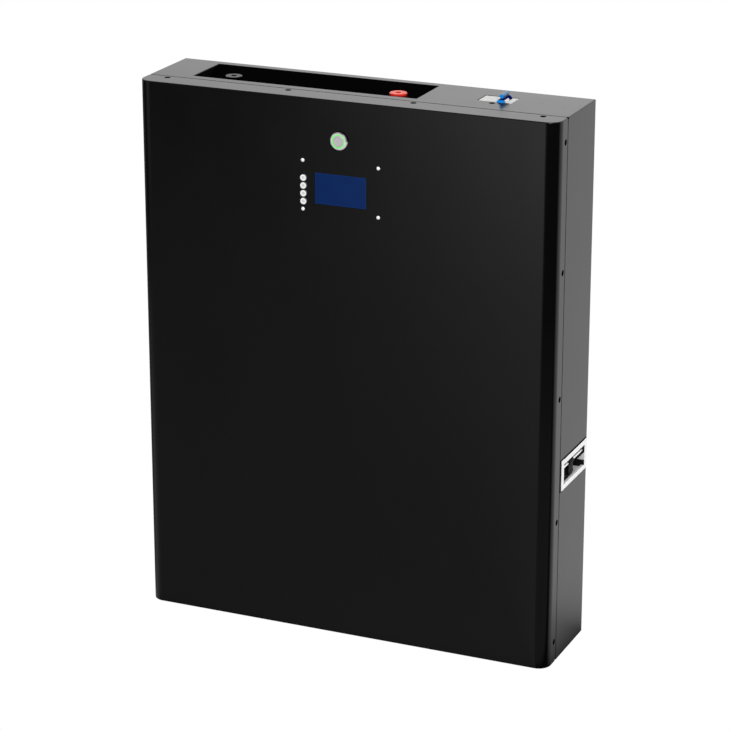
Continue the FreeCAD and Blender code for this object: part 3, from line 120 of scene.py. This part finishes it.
# ---------------------------------------------------------------- node helpers
class Graph:
    """A short way to write a node tree."""

    # A mix node's sockets for each kind of value: the first, the second and the result.
    MIX_SOCKETS = {"FLOAT": (2, 3, 0), "RGBA": (6, 7, 2)}

    def __init__(self, tree):
        self.tree = tree
        self.tree.nodes.clear()

    def add(self, kind, settings=(), **inputs):
        node = self.tree.nodes.new(kind)
        for key, value in dict(settings).items():
            setattr(node, key, value)
        for key, value in inputs.items():
            self.feed(node.inputs[key.replace("_", " ")], value)
        return node

    def feed(self, socket, value):
        if isinstance(value, bpy.types.NodeSocket):
            self.tree.links.new(value, socket)
        else:
            socket.default_value = value

    def math(self, operation, *values):
        node = self.tree.nodes.new("ShaderNodeMath")
        node.operation = operation
        for socket, value in zip(node.inputs, values):
            self.feed(socket, value)
        return node.outputs[0]

    def mix(self, kind, factor, first, second):
        node = self.add("ShaderNodeMix", {"data_type": kind})
        first_index, second_index, result_index = self.MIX_SOCKETS[kind]
        self.feed(node.inputs[0], factor)
        self.feed(node.inputs[first_index], first)
        self.feed(node.inputs[second_index], second)
        return node.outputs[result_index]

    def length(self, across, up):
        """How long a vector with two parts is."""
        squares = self.math("ADD", self.math("MULTIPLY", across, across), self.math("MULTIPLY", up, up))
        return self.math("SQRT", squares)

    def ramp(self, value, low, high, to_low=0.0, to_high=1.0, smooth=True):
        node = self.tree.nodes.new("ShaderNodeMapRange")
        node.interpolation_type = "SMOOTHSTEP" if smooth else "LINEAR"
        for socket, item in zip(node.inputs, (value, low, high, to_low, to_high)):
            self.feed(socket, item)
        return node.outputs[0]

    def above(self, value, level, blur, smooth=True):
        """A mask for a length that is more than a level; level and blur are in millimetres."""
        return self.ramp(value, level * MM, (level + blur) * MM, smooth=smooth)

    def below(self, value, level, blur, smooth=True):
        """A mask for a length that is less than a level; level and blur are in millimetres."""
        return self.ramp(value, level * MM, (level + blur) * MM, 1.0, 0.0, smooth)

    def offset(self, value, middle):
        """How far a length lies past a middle in millimetres."""
        return self.math("SUBTRACT", value, middle * MM)

    def away(self, value, middle):
        """How far a length lies from a middle in millimetres, either way."""
        return self.math("ABSOLUTE", self.offset(value, middle))

    def past(self, value, half):
        """How far a length lies outside a span about nought, either way; half is in metres."""
        return self.math("MAXIMUM", self.math("SUBTRACT", self.math("ABSOLUTE", value), half), 0.0)

    def brighten(self, value, share):
        """A value with a share of itself added."""
        return self.math("ADD", value, self.math("MULTIPLY", value, share))

    def place(self, stretch=None):
        """The point on the piece, stretched where the grain runs one way."""
        place = self.add("ShaderNodeTexCoord").outputs["Object"]
        if stretch is None:
            return place
        return self.add("ShaderNodeMapping", Vector=place, Scale=stretch).outputs[0]

    def normal(self):
        """The three parts of the surface's direction."""
        return self.axes(self.add("ShaderNodeTexCoord").outputs["Normal"])

    def axes(self, vector):
        return self.add("ShaderNodeSeparateXYZ", Vector=vector).outputs

    def noise(self, place, scale, detail=3.0, roughness=0.55):
        node = self.add("ShaderNodeTexNoise", Vector=place, Scale=scale, Detail=detail, Roughness=roughness)
        return node.outputs["Fac"]

    def two_tone(self, value, first, second, low=0.3, high=0.7):
        node = self.add("ShaderNodeValToRGB", Fac=value)
        ends = node.color_ramp.elements
        for end, position, colour in ((ends[0], low, first), (ends[1], high, second)):
            end.position = position
            end.color = (*colour, 1)
        return node.outputs["Color"]


# ---------------------------------------------------------------- masks: which part of a piece has a tone
# How much of the surface's direction lies along an axis where a face begins to count as square to that axis,
# and where it wholly does.
SQUARE_FROM = 0.85
SQUARE_FULL = 0.97


def facing(axis):
    """A mask for faces that look along an axis of the piece."""

    def mask(graph, place):
        return graph.ramp(graph.math("ABSOLUTE", graph.normal()[axis]), SQUARE_FROM, SQUARE_FULL)

    return mask


def beyond_radius(middle_x, middle_z, radius):
    """A mask for what is farther than radius from a forward-facing axis."""

    def mask(graph, place):
        x, y, z = graph.axes(place)
        reach = graph.length(graph.offset(x, middle_x), graph.offset(z, middle_z))
        return graph.above(reach, radius, blur=0.2, smooth=False)

    return mask


def outside_rectangle(middle_x, middle_z, width, height):
    """A mask for what lies outside an upright rectangle."""

    def mask(graph, place):
        x, y, z = graph.axes(place)
        past_side = graph.math("SUBTRACT", graph.away(x, middle_x), width / 2 * MM)
        past_top = graph.math("SUBTRACT", graph.away(z, middle_z), height / 2 * MM)
        return graph.above(graph.math("MAXIMUM", past_side, past_top), 0, blur=0.15, smooth=False)

    return mask


def toggle_drum_shade(graph, place):
    """A mask for the painted shade on the toggle's drum and web, apart from the lower part of its front face.
    """
    x, y, z = graph.axes(place)
    behind = graph.above(y, DRUM_FRONT, blur=0.6)
    upper = graph.above(z, DRUM_FACE_TOP, blur=0.6)
    return graph.math("MULTIPLY", graph.below(z, BAR_BOTTOM, blur=1), graph.math("MAXIMUM", behind, upper))


def drum_sleeve(graph, place):
    """A mask for the middle of the toggle's drum, below the web."""
    x, y, z = graph.axes(place)
    middle = graph.below(graph.away(y, SLEEVE_Y), SLEEVE_HALF, blur=0.4)
    return graph.math("MULTIPLY", graph.below(z, SLEEVE_TOP, blur=0.4), middle)


def key_dish_shade(graph, place):
    """A mask for the dished middles of the four keys, which carry painted shade."""
    x, y, z = graph.axes(place)
    half_pitch = KEY_PITCH / 2 * MM
    up = graph.math("WRAP", graph.offset(z, KEY_TOP_Z), half_pitch, -half_pitch)
    return graph.below(graph.length(graph.offset(x, KEY_X), up), DISH_SHADE_RADIUS, blur=0.8)


def bezel_chamfer(graph, place):
    """A mask for the bevel and side of the button's bezel."""
    x, y, z = graph.normal()
    return graph.ramp(graph.math("ABSOLUTE", y), SQUARE_FROM, SQUARE_FULL, to_low=1.0, to_high=0.0)


def bezel_side_shade(graph, place):
    """A mask for the side of the button's bezel, apart from its lower right, where painted shade turns it
    nearly black.
    """
    x, y, z = graph.normal()
    lean = 0.35
    side = graph.ramp(graph.math("ABSOLUTE", y), 0.3, 0.5, to_low=1.0, to_high=0.0)
    height = graph.math("SUBTRACT", z, graph.math("MULTIPLY", x, lean))
    return graph.math("MULTIPLY", side, graph.ramp(height, -0.62, -0.45))


def bezel_arc(middle, reach):
    """A mask for an arc of the bezel's bevel and side, by its bearing from the right in radians, for painted
    highlight and painted shade.
    """
    blur = 0.1

    def mask(graph, place):
        x, y, z = graph.normal()
        turn = graph.math("ABSOLUTE", graph.math("SUBTRACT", graph.math("ARCTAN2", z, x), middle))
        within = graph.ramp(turn, reach - blur, reach + blur, to_low=1.0, to_high=0.0)
        return graph.math("MULTIPLY", bezel_chamfer(graph, place), within)

    return mask


def cup_walls_shade(graph, place):
    """A mask for what lies behind the face of the handle's frame, greyed as painted shade inside the cup."""
    x, y, z = graph.axes(place)
    return graph.below(graph.math("ABSOLUTE", x), FRAME_FACE - WALLS_BEHIND, blur=0.15, smooth=False)


def cup_shade(graph, place):
    """A mask for the near-black painted shade in the handle's cup: its back, its roof and the upper part of
    its ends.
    """
    x, y, z = graph.axes(place)
    depth = graph.math("ABSOLUTE", x)
    back = graph.below(depth, CUP_BACK, blur=0.2, smooth=False)
    upper = graph.above(
        graph.math("SUBTRACT", z, graph.math("MULTIPLY", depth, SHADE_LEAN)), SHADE_FOOT, blur=1
    )
    behind_face = graph.below(depth, FRAME_FACE - SHADE_BEHIND, blur=0.2, smooth=False)
    inside = graph.below(graph.away(y, MOUTH_Y), MOUTH_HALF, blur=0.1, smooth=False)
    painted_shade = graph.math("MULTIPLY", graph.math("MULTIPLY", upper, behind_face), inside)
    return graph.math("MAXIMUM", back, painted_shade)


# ---------------------------------------------------------------- materials
def circuit_tracks(graph, place):
    """Green solder mask with a grid of copper tracks under it, in the plane of the front."""
    turned = graph.add("ShaderNodeMapping", Vector=place, Rotation=(math.radians(90), 0, 0))
    grid = graph.add(
        "ShaderNodeTexBrick",
        Vector=turned.outputs[0],
        Scale=90,
        Mortar_Size=0.02,
        Color1=(0.012, 0.11, 0.035, 1),
        Color2=(0.008, 0.075, 0.024, 1),
        Mortar=(0.03, 0.2, 0.06, 1),
    )
    return grid.outputs["Color"]


def thread(graph, place, pitch, share):
    """The ridges of an upright screw thread, as a share of the relief."""
    waves_in_scale = 20
    band = graph.add(
        "ShaderNodeTexWave",
        {"bands_direction": "Z", "wave_profile": "SIN"},
        Vector=place,
        Scale=2 * math.pi / (waves_in_scale * pitch * MM),
    )
    return graph.math("MULTIPLY", band.outputs["Fac"], share)


# How much finer the unevenness of the gloss is than that of the colour.
GLOSS_TO_MOTTLE = 2.3


def finish(
    name,
    colour,
    roughness,
    metal=0.0,
    specular=0.5,
    mottle=0.08,
    mottle_scale=30.0,
    grain_scale=900.0,
    grain_depth=0.02,
    stretch=None,
    coat=0.0,
    glow=None,
    ridges=None,
    tones=(),
    sheen=None,
):
    """A procedural material: a mottled colour, uneven gloss and a fine relief, each at its own scale.

    The colour may be a function that makes a pattern instead. Tones are masks with the colours that they lay
    over it, sheen is a mask with its own specular level, and grain_depth is in millimetres.
    """
    material = bpy.data.materials.new(name)
    material.use_nodes = True
    graph = Graph(material.node_tree)
    output = graph.add("ShaderNodeOutputMaterial")
    shader = graph.add("ShaderNodeBsdfPrincipled")
    graph.feed(output.inputs["Surface"], shader.outputs[0])
    place = graph.place()
    grain_place = graph.place(stretch) if stretch else place

    if callable(colour):
        shade = colour(graph, place)
    else:
        shade = graph.two_tone(
            graph.noise(place, mottle_scale, detail=4.0),
            [channel * (1 - mottle) for channel in colour],
            [min(1.0, channel * (1 + mottle)) for channel in colour],
        )
    for mask, tint in tones:
        shade = graph.mix("RGBA", mask(graph, place), shade, (*tint, 1))
    graph.feed(shader.inputs["Base Color"], shade)

    gloss = graph.noise(grain_place, mottle_scale * GLOSS_TO_MOTTLE, detail=5.0, roughness=0.6)
    graph.feed(shader.inputs["Roughness"], graph.ramp(gloss, 0.3, 0.7, *roughness))

    relief = graph.noise(grain_place, grain_scale)
    if ridges:
        relief = graph.math("ADD", relief, thread(graph, place, **ridges))
    bump = graph.add("ShaderNodeBump", Height=relief, Strength=1.0, Distance=grain_depth * MM)
    graph.feed(shader.inputs["Normal"], bump.outputs[0])

    shader.inputs["Metallic"].default_value = metal
    shader.inputs["Specular IOR Level"].default_value = specular
    if sheen:
        mask, shine = sheen
        level = graph.ramp(mask(graph, place), 0.0, 1.0, specular, shine)
        graph.feed(shader.inputs["Specular IOR Level"], level)
    shader.inputs["Coat Weight"].default_value = coat
    shader.inputs["Coat Roughness"].default_value = 0.08
    if glow:
        tint, strength = glow
        shader.inputs["Emission Color"].default_value = (*tint, 1)
        shader.inputs["Emission Strength"].default_value = strength
    return material


def grey(level):
    return (level, level, level)


WHITE_PLASTIC = (0.62, 0.62, 0.615)

FINISHES = {
    "case_paint": dict(
        colour=grey(0.0014),
        roughness=(0.15, 0.19),
        specular=0.25,
        mottle=0.25,
        mottle_scale=6,
        grain_scale=1300,
        grain_depth=0.006,
    ),
    "pocket_paint": dict(
        colour=grey(0.0006),
        roughness=(0.55, 0.65),
        specular=0.04,
        mottle=0.2,
        mottle_scale=14,
        grain_depth=0.01,
    ),
    "black_screws": dict(
        colour=grey(0.001),
        roughness=(0.17, 0.22),
        specular=0.0,
        mottle=0.2,
        mottle_scale=300,
        grain_scale=2500,
        grain_depth=0.002,
    ),
    "zinc_steel": dict(
        colour=(0.5, 0.5, 0.49),
        roughness=(0.3, 0.45),
        metal=1,
        mottle=0.12,
        mottle_scale=60,
        grain_scale=700,
        grain_depth=0.004,
    ),
    "chrome": dict(
        # Near-white diffuse colour with little metal: painted reflection, for the bright line that polished
        # chrome mirrors.
        colour=grey(0.95),
        roughness=(0.3, 0.4),
        metal=0.2,
        mottle=0.03,
        mottle_scale=200,
        grain_scale=400,
        grain_depth=0.001,
    ),
    "button_steel": dict(
        colour=(0.8, 0.74, 0.79),
        roughness=(0.38, 0.46),
        metal=0.55,
        mottle=0.04,
        mottle_scale=120,
        grain_scale=3000,
        grain_depth=0.003,
        # Painted shade on the bevel and side, darkest up right; a white painted highlight at the lower right.
        tones=[
            (bezel_chamfer, (0.5, 0.45, 0.49)),
            (bezel_arc(0.75, 0.6), (0.22, 0.19, 0.21)),
            (bezel_side_shade, grey(0.02)),
            (bezel_arc(-0.75, 0.75), grey(1.0)),
        ],
    ),
    "button_face": dict(
        colour=grey(0.46),
        roughness=(0.45, 0.55),
        metal=0.2,
        specular=0.3,
        mottle=0.04,
        mottle_scale=120,
        grain_scale=3000,
        grain_depth=0.002,
        tones=[(beyond_radius(BUTTON_X, BUTTON_Z, CAP_MIDDLE), (0.52, 0.4, 0.5))],
    ),
    "led_green": dict(
        colour=(0.12, 0.6, 0.12),
        roughness=(0.3, 0.4),
        mottle=0.05,
        mottle_scale=150,
        grain_scale=1500,
        grain_depth=0.004,
        glow=((0.16, 0.9, 0.16), 0.33),
    ),
    "handle_steel": dict(
        # Light steel given a near-white diffuse colour with little metal: painted reflection of the bright
        # floor.
        colour=grey(0.97),
        roughness=(0.3, 0.4),
        metal=0.1,
        mottle=0.03,
        mottle_scale=60,
        grain_scale=1200,
        grain_depth=0.003,
        stretch=(1, 0.05, 1),
        # Grey walls and a near-black back, roof and upper ends inside the cup: painted shade.
        tones=[(cup_walls_shade, grey(0.62)), (cup_shade, grey(0.002))],
    ),
    "handle_black": dict(
        colour=grey(0.002),
        roughness=(0.5, 0.6),
        specular=0.08,
        mottle=0.15,
        mottle_scale=90,
        grain_scale=1800,
    ),
    "black_rubber": dict(
        colour=grey(0.002),
        roughness=(0.7, 0.85),
        specular=0.15,
        mottle=0.2,
        mottle_scale=200,
        grain_scale=2500,
        grain_depth=0.01,
    ),
    "key_white": dict(
        # Grey sides and grey dishes round white fronts: painted shade on the keys.
        colour=grey(0.2),
        roughness=(0.28, 0.36),
        mottle=0.03,
        mottle_scale=120,
        grain_scale=2600,
        grain_depth=0.006,
        tones=[(facing(1), (0.87, 0.87, 0.865)), (key_dish_shade, grey(0.6))],
    ),
    "window_blue": dict(
        colour=(0.001, 0.016, 0.088),
        roughness=(0.05, 0.09),
        specular=0.15,
        mottle=0.06,
        mottle_scale=40,
        grain_scale=200,
        grain_depth=0.0005,
        tones=[(outside_rectangle(WINDOW_X, WINDOW_Z, WINDOW_WIDTH, WINDOW_HEIGHT), (0.002, 0.022, 0.11))],
    ),
    "black_plastic": dict(
        colour=grey(0.003),
        roughness=(0.34, 0.45),
        specular=0.35,
        mottle=0.15,
        mottle_scale=120,
        grain_scale=1800,
        grain_depth=0.012,
    ),
    "terminal_black": dict(
        colour=grey(0.001),
        roughness=(0.3, 0.4),
        specular=0.02,
        mottle=0.15,
        mottle_scale=120,
        grain_scale=1800,
        grain_depth=0.01,
        sheen=(facing(2), 0.3),
    ),
    "red_plastic": dict(
        colour=(0.55, 0.018, 0.01),
        roughness=(0.3, 0.4),
        specular=0.3,
        mottle=0.07,
        mottle_scale=120,
        grain_scale=1800,
        grain_depth=0.012,
        # Tops take a lighter red than the sides: painted light.
        tones=[(facing(2), (0.85, 0.1, 0.06))],
    ),
    "terminal_red_shaded": dict(
        # A darker copy of the red plastic for the positive terminal's column: painted shade in the pocket.
        colour=(0.12, 0.004, 0.003),
        roughness=(0.35, 0.45),
        specular=0.1,
        mottle=0.07,
        mottle_scale=120,
        grain_scale=1800,
        grain_depth=0.012,
    ),
    "breaker_white": dict(
        colour=WHITE_PLASTIC,
        roughness=(0.36, 0.46),
        mottle=0.03,
        mottle_scale=90,
        grain_scale=2000,
        grain_depth=0.014,
    ),
    "toggle_blue": dict(
        # Sides darker blue than the ends, drum and web a glossless navy: painted shade.
        colour=(0.012, 0.1, 0.24),
        roughness=(0.22, 0.3),
        specular=0.55,
        mottle=0.06,
        mottle_scale=120,
        grain_scale=2000,
        grain_depth=0.01,
        tones=[
            (facing(1), (0.0, 0.23, 0.7)),
            (toggle_drum_shade, (0.001, 0.004, 0.075)),
            (drum_sleeve, WHITE_PLASTIC),
        ],
        sheen=(toggle_drum_shade, 0.0),
    ),
    "brass": dict(
        colour=(0.72, 0.5, 0.2),
        roughness=(0.24, 0.36),
        metal=1,
        mottle_scale=200,
        grain_scale=1500,
        ridges=dict(pitch=1.25, share=2.5),
    ),
    "circuit_board": dict(
        colour=circuit_tracks,
        roughness=(0.3, 0.42),
        coat=0.3,
    ),
    "cell_wrap": dict(
        colour=(0.02, 0.08, 0.24),
        roughness=(0.3, 0.42),
        mottle=0.1,
        mottle_scale=20,
        grain_scale=150,
        grain_depth=0.05,
    ),
    "bare_aluminium": dict(
        colour=(0.75, 0.76, 0.77),
        roughness=(0.28, 0.42),
        metal=1,
        mottle=0.05,
        grain_depth=0.004,
        stretch=(0.05, 1, 1),
    ),
    "copper_bar": dict(
        colour=(0.8, 0.36, 0.2),
        roughness=(0.24, 0.4),
        metal=1,
        mottle=0.12,
        mottle_scale=25,
        grain_depth=0.004,
    ),
}
MATERIALS = {name: finish(name, **looks) for name, looks in FINISHES.items()}

# Nodes that look different from the rest of their material slot; the positive terminal's darker red is
# painted shade.
NODE_FINISHES = {
    "button_cap": "button_face",
    "negative_collar": "terminal_black",
    "negative_terminal": "terminal_black",
    "positive_terminal": "terminal_red_shaded",
}


# ---------------------------------------------------------------- the object
def dress_cad_nodes():
    """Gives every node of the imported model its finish."""
    for entry in frame["record"]["subparts"]:
        node = entry["node"]
        mesh = NODES[node].data
        mesh.materials.clear()
        mesh.materials.append(MATERIALS[NODE_FINISHES.get(node, entry["material_slot"])])


def in_counterbore(x, y, z):
    """Whether a point lies below the outer faces of the case beside one of its sunk screws."""
    below_top = BORES_ON_TOP[0] < z < BORES_ON_TOP[1]
    below_side = BORES_ON_SIDES[0] < abs(x) < BORES_ON_SIDES[1] and z < SIDE_ROW_TOP
    if abs(y - SCREW_Y) < BORE_REACH:
        return below_side or (below_top and abs(x) < TOP_ROW_REACH)
    return below_top and math.hypot(x - BREAKER_X, abs(y - BREAKER_Y) - BRACKET_REACH) < BORE_REACH


def in_socket_floor(x, y, z):
    """Whether a point lies on the floor of a screw's socket."""
    return min(abs(z - SOCKET_TOP), abs(abs(x) - SOCKET_SIDE)) < SOCKET_SLACK


def paint_faces(node, wanted, finish_name):
    """Gives another finish to the faces of a node whose middles are wanted."""
    mesh = NODES[node].data
    mesh.materials.append(MATERIALS[finish_name])
    for face in mesh.polygons:
        if wanted(*(part / MM for part in face.center)):
            face.material_index = 1


def soften(node, width):
    """Rounds the sharp edges of a boxy node by a width in millimetres."""
    weld = NODES[node].modifiers.new("weld", "WELD")
    weld.merge_threshold = 0.01 * MM
    bevel = NODES[node].modifiers.new("edges", "BEVEL")
    bevel.width = width * MM
    bevel.segments = 2
    bevel.limit_method = "ANGLE"
    bevel.angle_limit = math.radians(50)
    bevel.use_clamp_overlap = True
    bevel.harden_normals = False


def add_frame_shadow_strip(name, side):
    """A black strip round the handle's frame, a dark sheet standing for the gap and its shadow."""
    shape = bmesh.new()
    loops = []
    for depth in STRIP_DEPTHS:
        for y0, y1, z0, z1 in (STRIP_OUTER, STRIP_INNER):
            corners = ((y0, z0), (y1, z0), (y1, z1), (y0, z1))
            loops.append([shape.verts.new((side * depth * MM, y * MM, z * MM)) for y, z in corners])
    outer_low, inner_low, outer_high, inner_high = loops
    for first, second in (
        (outer_low, inner_low),
        (inner_low, inner_high),
        (inner_high, outer_high),
        (outer_high, outer_low),
    ):
        for index in range(4):
            after = (index + 1) % 4
            shape.faces.new((first[index], first[after], second[after], second[index]))
    bmesh.ops.recalc_face_normals(shape, faces=shape.faces)
    mesh = bpy.data.meshes.new("shadow_strip")
    shape.to_mesh(mesh)
    shape.free()
    mesh.materials.append(MATERIALS["black_rubber"])
    piece = bpy.data.objects.new(name, mesh)
    bpy.context.scene.collection.objects.link(piece)
    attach(piece, "enclosure")


# ---------------------------------------------------------------- studio
# The sweep and the case that stands on it, in metres, with the places beside the case's front corners from
# which bearings on the sweep are taken, in radians.
FLOOR_HALF = 15.0
FLOOR_DROP = 0.0004
CASE_HALF_WIDTH = 0.3
CASE_HALF_DEPTH = 0.0713
LEFT_CORNER_X = -0.29
RIGHT_CORNER_X = 0.285
CORNER_AHEAD = 0.07
FAINTEST_GLOW = 0.02
WHITE = (1, 1, 1, 1)


def glow_behind(graph, x, y):
    """The floor's light behind the object, by its bearing from the side's front edge: none straight to the
    right, most at the right rear, less toward the left, and a shadow where the object stands."""
    edge_y = -0.06
    shadow_fall = -15.0
    shadow_depth = -0.85
    behind_edge = graph.math("SUBTRACT", y, edge_y)
    bearing = graph.math("ARCTAN2", behind_edge, graph.math("SUBTRACT", x, CASE_HALF_WIDTH))
    from_right = graph.ramp(bearing, 0.16, 0.5, to_low=0.0, to_high=0.93)
    to_left = graph.ramp(bearing, 1.85, 2.2, to_low=1.0, to_high=0.15)
    distance = graph.length(graph.past(x, CASE_HALF_WIDTH), graph.past(y, CASE_HALF_DEPTH))
    nearness = graph.math("EXPONENT", graph.math("MULTIPLY", distance, shadow_fall))
    contact = graph.math("MULTIPLY_ADD", nearness, shadow_depth, 1.0)
    return graph.math("MULTIPLY", graph.math("MULTIPLY", from_right, to_left), contact)


def from_front_corner(graph, x, y, corner_x):
    """A point's bearing and distance from a front corner of the case, looking forward."""
    right = graph.math("SUBTRACT", x, corner_x)
    ahead = graph.math("MULTIPLY_ADD", y, -1.0, -CORNER_AHEAD)
    return graph.math("ARCTAN2", right, ahead), graph.length(right, ahead)


def glow_ahead(graph, x, y, right_bearing):
    """The floor's light in front of the object: a soft grey that rises to the right and, farther out, to both
    sides, cut off by a flag at the right corner and uneven near the left one."""
    base = 0.37
    lean = -0.45
    middle = 0.04
    tilt = 0.08
    tilt_growth = 0.127
    bend_growth = 0.14
    darkest = 0.05
    lightest = 1.3
    squared = graph.math("MULTIPLY", y, y)
    across = graph.math("SUBTRACT", graph.math("MULTIPLY_ADD", y, lean, x), middle)
    slope = graph.math("MULTIPLY_ADD", squared, tilt_growth, tilt)
    bend = graph.math("MULTIPLY", squared, bend_growth)
    curve = graph.math("MULTIPLY", graph.math("MULTIPLY", across, across), bend)
    glow = graph.math("ADD", graph.math("MULTIPLY_ADD", slope, across, base), curve)
    glow = graph.math("MINIMUM", graph.math("MAXIMUM", glow, darkest), lightest)

    glow = graph.math("MULTIPLY", glow, graph.ramp(right_bearing, -0.25, -0.1, to_low=1.0, to_high=0.0))
    glow = graph.brighten(glow, graph.ramp(right_bearing, -0.6, -0.3, to_low=0.0, to_high=0.35))
    glow = graph.math("MULTIPLY", glow, graph.ramp(y, -0.1, 0.0, to_low=1.0, to_high=0.0))
    left_bearing, left_distance = from_front_corner(graph, x, y, LEFT_CORNER_X)
    beside = graph.ramp(left_bearing, -1.3, -0.42, to_low=1.0, to_high=0.0)
    fall = graph.ramp(left_distance, 0.6, 2.05, to_low=0.9, to_high=-0.95, smooth=False)
    return graph.brighten(glow, graph.math("MULTIPLY", fall, beside))


def glow_right(graph, y, distance):
    """The floor's faint light round the front right corner."""
    glow = graph.ramp(distance, 0.4, 1.7, to_low=0.28, to_high=0.04)
    return graph.math("MULTIPLY", glow, graph.ramp(y, -0.1, -0.07, to_low=1.0, to_high=0.0))


def add_floor():
    """A white sweep. The lens sees it evenly white; the object sees it lit from the right and the back,
    with dark flags in front of it on the right."""
    mesh = bpy.data.meshes.new("floor")
    corners = [(x * FLOOR_HALF, y * FLOOR_HALF, -FLOOR_DROP) for x, y in ((-1, -1), (1, -1), (1, 1), (-1, 1))]
    mesh.from_pydata(corners, [], [(0, 1, 2, 3)])
    floor = bpy.data.objects.new("floor", mesh)
    bpy.context.scene.collection.objects.link(floor)
    material = bpy.data.materials.new("sweep")
    material.use_nodes = True
    graph = Graph(material.node_tree)
    x, y, z = graph.axes(graph.place())
    bearing, distance = from_front_corner(graph, x, y, RIGHT_CORNER_X)
    brightest = FAINTEST_GLOW
    for glow in (
        glow_right(graph, y, distance),
        glow_behind(graph, x, y),
        glow_ahead(graph, x, y, bearing),
    ):
        brightest = graph.math("MAXIMUM", glow, brightest)
    from_lens = graph.add("ShaderNodeLightPath").outputs["Is Camera Ray"]
    strength = graph.mix("FLOAT", from_lens, brightest, 1.0)
    emission = graph.add("ShaderNodeEmission", Strength=strength, Color=WHITE)
    output = graph.add("ShaderNodeOutputMaterial")
    graph.feed(output.inputs["Surface"], emission.outputs[0])
    mesh.materials.append(material)


def add_world():
    """A bright sweep low behind the object, dim overhead and in front."""
    world = bpy.data.worlds.new("studio")
    world.use_nodes = True
    bpy.context.scene.world = world
    graph = Graph(world.node_tree)
    x, y, z = graph.axes(graph.add("ShaderNodeTexCoord").outputs["Generated"])
    behind = graph.ramp(y, -0.15, 0.35, to_low=0.35, to_high=1.0)
    sideways = graph.ramp(x, -0.62, -0.3, to_low=0.86, to_high=1.32)
    overhead = graph.ramp(z, 0.55, 0.9, to_low=1.0, to_high=0.3)
    strength = graph.math("MULTIPLY", graph.math("MULTIPLY", behind, sideways), overhead)
    background = graph.add("ShaderNodeBackground", Strength=strength, Color=WHITE)
    output = graph.add("ShaderNodeOutputWorld")
    graph.feed(output.inputs["Surface"], background.outputs[0])


def add_softbox(name, place, aim, width, height, power):
    data = bpy.data.lights.new(name, "AREA")
    data.shape = "RECTANGLE"
    data.size = width
    data.size_y = height
    data.energy = power
    light = bpy.data.objects.new(name, data)
    light.location = place
    light.rotation_euler = (Vector(aim) - Vector(place)).to_track_quat("-Z", "Y").to_euler()
    bpy.context.scene.collection.objects.link(light)


add_camera()
dress_cad_nodes()
# The counterbores round the sunk screws take the dull black pocket paint: painted shade in those recesses.
for node in ("front_cover", "rear_case"):
    paint_faces(node, in_counterbore, "pocket_paint")
for node in ("cover_screws", "breaker_screws"):
    paint_faces(node, in_socket_floor, "case_paint")
for node in ("breaker_body", "right_handle_grip", "left_handle_grip"):
    soften(node, width=0.5)
for node in ("right_handle_pan", "left_handle_pan"):
    soften(node, width=0.35)
# Black strips round the handles' frames, standing for the dark gap and its shadow.
for name, side in (("left_handle_shadow_strip", -1), ("right_handle_shadow_strip", 1)):
    add_frame_shadow_strip(name, side)
add_floor()
add_world()
add_softbox("key", place=(1.3, -2.3, 2.2), aim=(0, 0, 0.5), width=1.6, height=1.2, power=95)
bpy.context.scene.view_settings.view_transform = "Standard"
